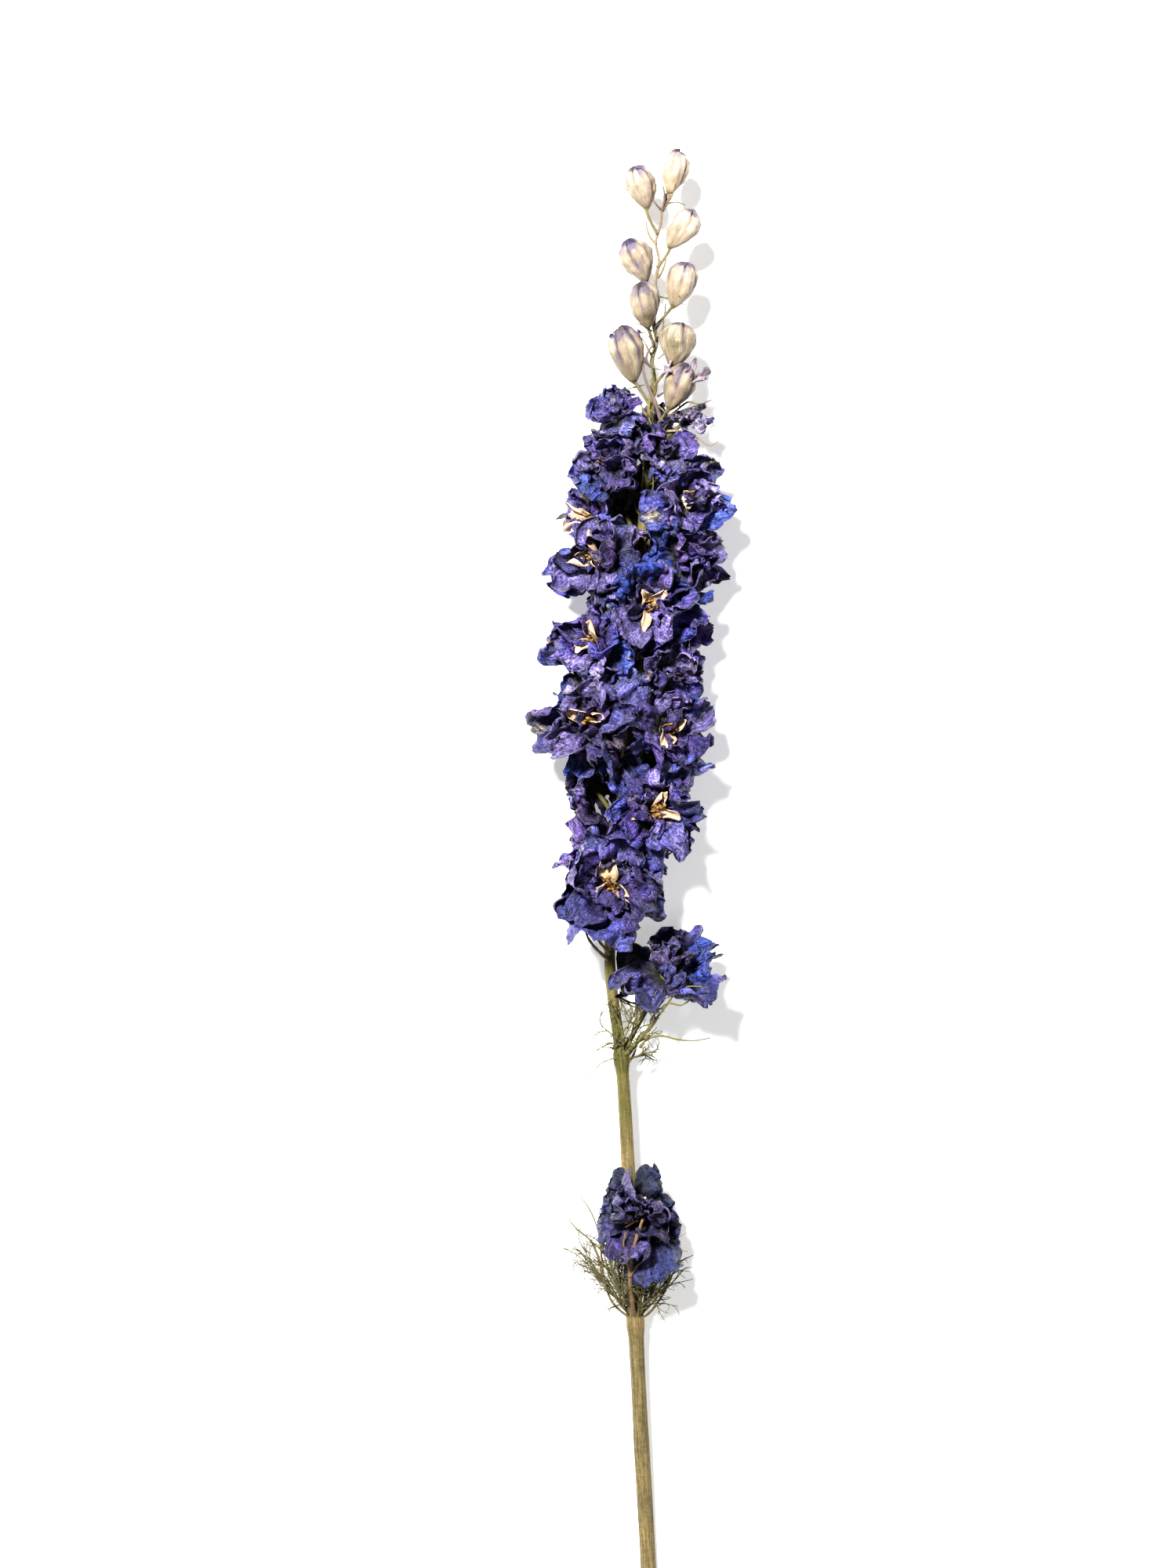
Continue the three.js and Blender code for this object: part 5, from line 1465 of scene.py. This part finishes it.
# %% [markdown]
# Each bloom and bud but the topmost hangs on a stalk that leaves the stem some way below it and bends
# outwards. It is thicker at both ends. A line from the stem, bent towards a point further out, gives it. It
# always ends where the bloom's knot or the bud's base is, so no stalk can miss its flower.

# %% Stalks
STALK_RADIUS = 0.55
STALK_STEPS = 14


def add_stalks(gather):
    share = np.linspace(0, 1, STALK_STEPS + 1)
    for index, bloom in enumerate(BLOOMS):
        frame_of = bloom_frame(bloom)
        foot = stem_at(bloom["y"] - bloom["drop"])[0]
        pull = stem_at(bloom["y"] - 0.35 * bloom["drop"])[0] + frame_of["outward"] * bloom["out"] * 0.62
        line = curve_through(foot, pull, frame_of["knot"] - frame_of["facing"] * (BLADE + SPARE), STALK_STEPS)
        radius = STALK_RADIUS * (0.75 + 0.3 * bloom["size"])
        radii = radius * np.interp(share, [0, 0.25, 0.8, 1], [1.3, 1, 1, 1.35])
        add_tube(gather, line, radii, 9, STEM_OLIVE, part=index, ridge=0.06, ridges=4)
    for index, bud in enumerate(BUDS):
        if bud["drop"] == 0:
            continue
        shape = bud_frame(bud)
        foot = stem_at(bud["y"] - bud["drop"])[0]
        pull = stem_at(bud["y"] - 0.55 * bud["drop"])[0] + shape["outward"] * bud["out"] * 0.6
        line = curve_through(foot, pull, shape["base"] + shape["axis"] * SPARE, STALK_STEPS)
        radii = np.interp(share, [0, 0.25, 0.75, 1], [0.55, 0.36, 0.42, 0.85])
        add_tube(gather, line, radii, 9, blend_tint(STEM_OLIVE, BUD_TAN, 0.35), part=index)


add_stalks(stem_gather)
print("points with the stalks:", stem_gather.count)

# %% [markdown]
# Below each stalk sits a bract, a leaf so narrow that it dried to a thread with a hook at its end. Among
# the buds and upper blooms more such threads curl out of the stalks. Both are thin tubes with a draw for
# each bend. A curl makes about half a turn and widens towards its end, since one that kept on turning would
# look like a spring.

# %% Bracts and curled threads
THREAD_GREEN = srgb(0.52, 0.50, 0.33)
BRACT_STEPS = 12
CURL_POINTS = 19
CURLS = 3  # to a bud or bloom
CURLED = BUDS[4:] + [BLOOMS[k] for k in (0, 1, 3, 6, 9)]
FIRST_CURL = 4


def add_bracts(gather):
    share = np.linspace(0, 1, BRACT_STEPS + 1)
    for index, owner in enumerate(BLOOMS + BUDS):
        seat = index % len(BLOOMS)
        place = owner["y"] - owner["drop"]
        along, outward = directions_at(place, owner["turn"] + draw(-40, 40, seat, 0, 31))
        middle, radius = stem_at(place - 2.4)
        long = draw(4.5, 7, seat, 0, 32)
        start = middle + outward * radius * 0.5
        pull = start + outward * long * 0.42 + along * long * 0.25
        end = start + outward * long * 0.5 + along * long * 0.95
        flank = np.cross(along, outward)
        hooked = outward * draw(-0.8, 1.2, index, 1, 33) + flank * draw(-1.2, 1.2, index, 2, 33)
        line = curve_through(start, pull, end, BRACT_STEPS) + share[:, None] ** 3 * hooked
        radii = np.interp(share, [0, 0.5, 1], [0.42, 0.3, 0.12])
        tint = blend_tint(THREAD_GREEN, STEM_TAN, draw(0, 0.8, index, 3, 33))
        add_tube(gather, line, radii, 6, tint, part=index)


def add_curl(gather, owner, n):
    foot_y = owner["y"] - owner["drop"]
    along, outward = directions_at(foot_y, owner["turn"] + draw(-70, 70, n, 0, 121))
    foot = stem_at(owner["y"] - owner["drop"] * draw(0.2, 0.9, n, 1, 121))[0]
    foot = foot + outward * owner["out"] * draw(0.1, 0.6, n, 2, 121)
    long = draw(5, 9, n, 3, 121)
    away = unit(outward * draw(0.3, 1, n, 4, 121) + along * draw(-0.8, 0.9, n, 5, 121))
    flank = unit(np.cross(away, outward + along * 0.3 + 1e-3))
    t = np.linspace(0, 1, CURL_POINTS)[:, None]
    swing = draw(1.5, 3.5, n, 6, 121) * t + draw(0, 6, n, 7, 121)
    swung = (flank * np.sin(swing) + UP * np.cos(swing) * 0.8) * t * draw(1, 2.4, n, 8, 121)
    line = foot + away * long * t * (1 - 0.25 * t) + swung
    line[:, 2] = np.maximum(line[:, 2], 1.0)
    tint = blend_tint(STEM_MAUVE * 0.7, THREAD_GREEN, draw(0, 1, n, 9, 121))
    add_tube(gather, line, np.linspace(0.24, 0.1, CURL_POINTS), 6, tint, part=n)


add_bracts(stem_gather)
for index, owner in enumerate(CURLED, FIRST_CURL):
    for k in range(CURLS):
        add_curl(stem_gather, owner, index * 10 + k)
print("points with bracts and curls:", stem_gather.count)

# %% [markdown]
# A larkspur's leaves are cut into threads: each lobe forks into shorter lobes, and those fork again. So one
# function draws a lobe and calls itself for the lobes that fork off it, three times over, each level
# thinner and more curled. A flat leaf with a cut outline would be lighter, but it vanishes when it is seen
# from its edge.

# %% Cut thread leaves
THREAD_DARK = srgb(0.36, 0.335, 0.22)
LOBE_LEVELS = (  # curl, radius, steps, sides
    (0.35, 0.3, 9, 5), (0.8, 0.22, 9, 5), (1.3, 0.15, 8, 4), (2.3, 0.11, 6, 3),
)
FORKS = (0.5, 0.75, 1.0)  # where the next lobes leave, as shares of a lobe's length
TABLE_EASE = 1.2  # how softly a lobe that sinks to the table is held above it
LOWEST_LOBE = 0.3


def settle(line, radius):
    """Holds a line above the table, the more the lower it sinks."""
    line = line.copy()
    line[:, 2] = radius + TABLE_EASE * np.log1p(np.exp((line[:, 2] - radius) / TABLE_EASE))
    return line


def add_lobe(gather, n, start, heading, flank, long, level, shade, stout, homeward=0.0):
    """One lobe of a thread leaf, curled as it dried, with shorter lobes forking off it."""
    curl, thick, steps, sides = LOBE_LEVELS[level]
    t = np.linspace(0, 1, steps + 1)[:, None]
    turned = draw(-1, 1, n, 0, 45) * curl * t**1.3
    lifted = (draw(-0.7, 0.7, n, 1, 45) * curl + homeward) * t**1.3
    rise = np.cross(heading, flank)
    ways = (heading * np.cos(turned) + flank * np.sin(turned)) * np.cos(lifted) + rise * np.sin(lifted)
    line = start + long * add_up(ways, 1 / steps)
    tint = blend_tint(shade, THREAD_GREEN, 0.3 * level) * draw(0.8, 1.15, n, 2, 45)
    radii = np.linspace(thick * stout, 0.55 * (thick * stout), steps + 1)
    add_tube(gather, settle(line, LOWEST_LOBE), radii, sides, tint, part=n)
    if level == len(LOBE_LEVELS) - 1:
        return
    for j, at in enumerate(FORKS):
        step = int(round(at * steps))
        hand = (1 if (j + n) % 2 else -1) * (1 if at < 1 else 0.5)
        fork = hand * draw(0.4, 0.9, n, j, 46)
        side = unit(flank - ways[step] * (flank @ ways[step]))
        way = unit(ways[step] * math.cos(fork) + side * math.sin(fork))
        side = unit(side - way * (side @ way) + np.cross(way, side) * draw(-0.6, 0.6, n, j, 47))
        shorter = long * draw(0.5, 0.8, n, j, 48)
        add_lobe(gather, n * 3 + j + 1, line[step], way, side, shorter, level + 1, shade, stout)


print("lobes in one leaf:", sum(len(FORKS) ** level for level in range(len(LOBE_LEVELS))))

# %% [markdown]
# The leaves stand at two joints: a feathery tuft under the lowest bloom, and a few wiry leaves under the
# lone side bloom. The rows give each leaf's place, turn, lean and length. The first six are the stiff ones
# that the plain solids have too, and the soft ones fill the tuft between them.

# %% Leaves at the two joints
FRONDS = [  # y, turn, lean, long
    (-71, 66, 44, 14), (-70, 24, 28, 19), (-140, -76, 14, 29), (-139, -8, 11, 22), (-140, 70, 14, 27),
    (-138, 178, 9, 24),
    (-70, 20, 22, 24), (-69.5, 62, 34, 27), (-69, 88, 54, 22), (-71, -10, 30, 10), (-53, 62, 118, 13),
    (-70, 75, 90, 12),
    (-138, -84, 26, 36), (-137, -62, 16, 42), (-138, -35, 14, 26), (-138, 8, 10, 20), (-137, 40, 18, 26),
    (-138, 66, 30, 29), (-139, 92, 22, 33), (-128, 58, 22, 25), (-127, -78, 18, 30), (-134, -96, 30, 30),
    (-139, 135, 26, 22), (-139, -140, 22, 22), (-136, 82, 36, 26), (-133, -20, 8, 16), (-132, 25, 10, 18),
    (-118, -84, 18, 22), (-121, 80, 24, 18), (-138, 60, 36, 28), (-136, 80, 40, 24), (-139, 30, 30, 20),
    (-137, -88, 31, 32), (-139, -52, 28, 24), (-138, 106, 30, 28), (-135, 50, 22, 26), (-132, -60, 20, 28),
    (-137, -15, 20, 17),
]
BETWEEN_JOINTS = -90
STARTING_LEAN = 14  # added to every lean, in degrees, because the first lobe bends back towards the stem
FIRST_LOBE = 0.42  # length of a leaf's first lobe, as a share of the leaf's
HOMEWARD = 0.42  # how far the first lobe bends back towards the stem


def add_frond(gather, index, y, turn, lean, long):
    along, outward = directions_at(y, turn)
    tilt = math.radians(lean + STARTING_LEAN)
    heading = along * math.cos(tilt) + outward * math.sin(tilt)
    flank = np.cross(along, outward)
    if y > BETWEEN_JOINTS:
        shade, stout = blend_tint(THREAD_DARK, THREAD_GREEN, draw(0.7, 1, index, 0, 41)), 1.3
    else:
        shade, stout = blend_tint(THREAD_DARK, STEM_TAN, draw(0, 0.7, index, 0, 41)), 1.0
    foot = stem_at(y)[0]
    add_lobe(gather, 100 * (index + 1), foot, heading, flank, long * FIRST_LOBE, 0, shade, stout, HOMEWARD)


for index, frond in enumerate(FRONDS):
    add_frond(stem_gather, index, *frond)
print("leaves:", len(FRONDS), "and points with them:", stem_gather.count)

# %% [markdown]
# Some threads are plain to see one by one, and no draw would put them in the right place: the wiry lobes
# under the side bloom, the forked stalk that bears no bloom and lies over the lowest one, and the bracts at
# the topmost bud. So each has a row of its own with a few given points that a smooth path follows.

# %% Single threads and the bare stalk
STALK_BUFF = srgb(0.55, 0.455, 0.345)
STRAND_TAN = srgb(0.47, 0.42, 0.29)
STRAND_MAUVE = srgb(0.46, 0.40, 0.38)
STRAND_POINTS = 25
STRANDS = [  # radius at the foot, radius at the tip, tint, points
    (0.42, 0.12, THREAD_GREEN, [
        (13.2, -67.4, 13), (14.6, -65.4, 13.6), (16.6, -64.4, 14), (19.2, -64.2, 14.2), (23, -65.4, 14),
        (27.6, -65.7, 13.4), (31.2, -64.9, 13),
    ]),
    (0.62, 0.42, STALK_BUFF, [
        (12.2, -138, 6.6), (11.2, -132, 12.5), (10.5, -124, 17.2), (11.8, -116.5, 20.6),
        (14, -109.8, 22.6),
    ]),
    (0.42, 0.22, STALK_BUFF, [
        (10.6, -123.2, 17.4), (9.4, -119.5, 19), (8.9, -116.5, 20.2), (9.6, -113.6, 21.0),
    ]),
    (0.4, 0.2, STALK_BUFF, [(10.7, -125.5, 16.6), (12.4, -122.6, 18.2), (14, -121.2, 18.6)]),
    (0.36, 0.13, STRAND_TAN, [
        (12.2, -138, 6.4), (8.6, -136, 7.4), (5.6, -132.8, 8.4), (4, -127.2, 9.4), (3.4, -121, 10),
        (2.8, -114, 10.4), (0.2, -108.4, 10), (-1.8, -106, 9.4),
    ]),
    (0.36, 0.13, STRAND_TAN, [
        (4.2, -128, 9.2), (2.6, -121, 9.6), (0.8, -117, 9.4), (-2.8, -114.4, 9), (-5.2, -111.6, 8.6),
    ]),
    (0.36, 0.13, STRAND_TAN, [
        (12.2, -138, 6.4), (15.6, -136.6, 7.4), (19.6, -130.8, 8.8), (21.6, -126, 9.4),
        (23.2, -122.6, 9.4), (27, -121, 8.6),
    ]),
    (0.32, 0.12, STRAND_TAN, [
        (3.2, -119, 10.1), (4.6, -114, 10.6), (4.4, -110.4, 10.6), (2.8, -108.6, 10.2),
    ]),
    (0.3, 0.12, STRAND_TAN, [(21, 94, 15), (25.4, 97.6, 16), (28.4, 96.6, 16.6), (31.8, 98, 16)]),
    (0.32, 0.12, BUD_TAN, [
        (20, 90, 15), (25, 90, 17.4), (28.5, 87.6, 17.8), (31, 85.8, 17.2), (33.4, 87.4, 16.4),
    ]),
    (0.55, 0.2, STRAND_MAUVE, [
        (18.7, 92.5, 14.2), (17.2, 97.3, 16.2), (15, 101.7, 17), (13.9, 105.4, 17), (14.6, 108.6, 16.4),
    ]),
    (0.4, 0.15, STRAND_MAUVE, [
        (16.8, 106, 14), (14.6, 107.4, 16.2), (15.2, 110.2, 16.8), (16.8, 111.9, 16.4),
        (15.4, 114.2, 15.8),
    ]),
    (0.34, 0.13, STRAND_MAUVE, [
        (17.8, 99, 14.2), (20.6, 100.6, 16.4), (22.4, 99.2, 16.8), (23.6, 96.4, 16.4), (22.4, 94.6, 16),
    ]),
    (0.24, 0.09, THREAD_GREEN, [
        (8.4, -70.4, 10.5), (6.4, -70.2, 12), (3.6, -71.2, 12), (1.6, -73.4, 11.4), (-0.2, -75.4, 10.8),
    ]),
    (0.22, 0.09, THREAD_GREEN, [(8.4, -58, 11), (6.6, -56.6, 12.4), (4.2, -55.4, 12.2)]),
    (0.5, 0.28, BUD_TAN, [
        (5.8, -45.6, 11), (3.6, -43.6, 13.5), (1.4, -41.4, 14.5), (-0.2, -39, 14.5), (-1, -36, 13.4),
    ]),
    (0.46, 0.26, BUD_TAN, [
        (6, -44.2, 11), (4.6, -42.2, 14), (3, -40.4, 15), (1.7, -38, 15.2), (1.2, -35.4, 15),
    ]),
    (0.36, 0.2, BUD_TAN, [(5.9, -43, 11.4), (5.2, -40.6, 15), (4.8, -38, 16), (5, -35.4, 16)]),
    (0.4, 0.13, THREAD_GREEN, [
        (9, -70, 10.6), (13.6, -64.5, 15), (17.4, -59.5, 20), (20.2, -55.4, 24.6), (22, -52.2, 26.8),
        (25, -50.8, 27.4), (28, -51, 26.6), (30.6, -51.8, 24.6),
    ]),
    (0.26, 0.1, THREAD_GREEN, [(17, -60, 19.4), (16.6, -57, 22), (16.2, -54.4, 23), (17.4, -52.2, 23.4)]),
    (0.26, 0.1, THREAD_GREEN, [
        (20.4, -55.2, 24.8), (23.4, -56, 25), (25.4, -54.8, 25.4), (26.2, -53.4, 25.6),
    ]),
    (0.28, 0.12, STRAND_MAUVE, [
        (13.6, -20.4, 15), (17.5, -19.6, 18), (20.9, -17.8, 18), (23, -15.6, 17), (24.6, -14.2, 16),
    ]),
    (0.3, 0.1, STRAND_TAN, [
        (19, 146.4, 14.4), (20.4, 148, 16.2), (22.6, 148.2, 16.8), (24.8, 147.5, 16.4),
    ]),
    (0.42, 0.14, STRAND_MAUVE, [
        (18.9, 146.2, 14.4), (19.5, 148.6, 16.4), (19.4, 151, 17.4), (18.8, 152.6, 17.4),
    ]),
    (0.36, 0.12, STRAND_MAUVE, [(18.9, 146.2, 14.4), (17.4, 147.6, 16), (16.4, 149, 16.4)]),
    (0.36, 0.12, STRAND_MAUVE, [(19, 146.2, 14.4), (20.8, 149, 16.4), (22, 151, 17), (22.2, 152.8, 16.8)]),
]


def add_strand(gather, foot, tip, tint, path):
    line = smooth_path(np.array(path, float), STRAND_POINTS, rounds=4)
    radii = np.linspace(foot, tip, STRAND_POINTS) * (1 + 0.1 * np.sin(np.arange(STRAND_POINTS) * 1.3))
    add_tube(gather, line, radii, 8, tint, part=3)


for strand in STRANDS:
    add_strand(stem_gather, *strand)
print("single threads:", len(STRANDS))

# %% [markdown]
# With its last thread the stem is complete, and all that was gathered for it becomes one mesh. It stands
# for the solid of the stem, and it may come a little nearer to the table than the petals do, because the
# stem lies on it.

# %% Build the stem with its leaves
stem_piece = stem_gather.mesh("stem_and_leaves", stem_finish, lowest=0.02)
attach(stem_piece, "root")
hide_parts("stem")
print("faces in the stem:", len(stem_piece.data.polygons))

# %% [markdown]
# Last, the triangles of all dressed pieces are counted. The dressed spike has to fill the same box as the
# solids.

# %% Count the triangles
bpy.context.view_layer.update()
pieces = bloom_pieces + heart_pieces + bud_pieces + [stem_piece]
print("triangles:", sum(2 * len(piece.data.polygons) for piece in pieces))
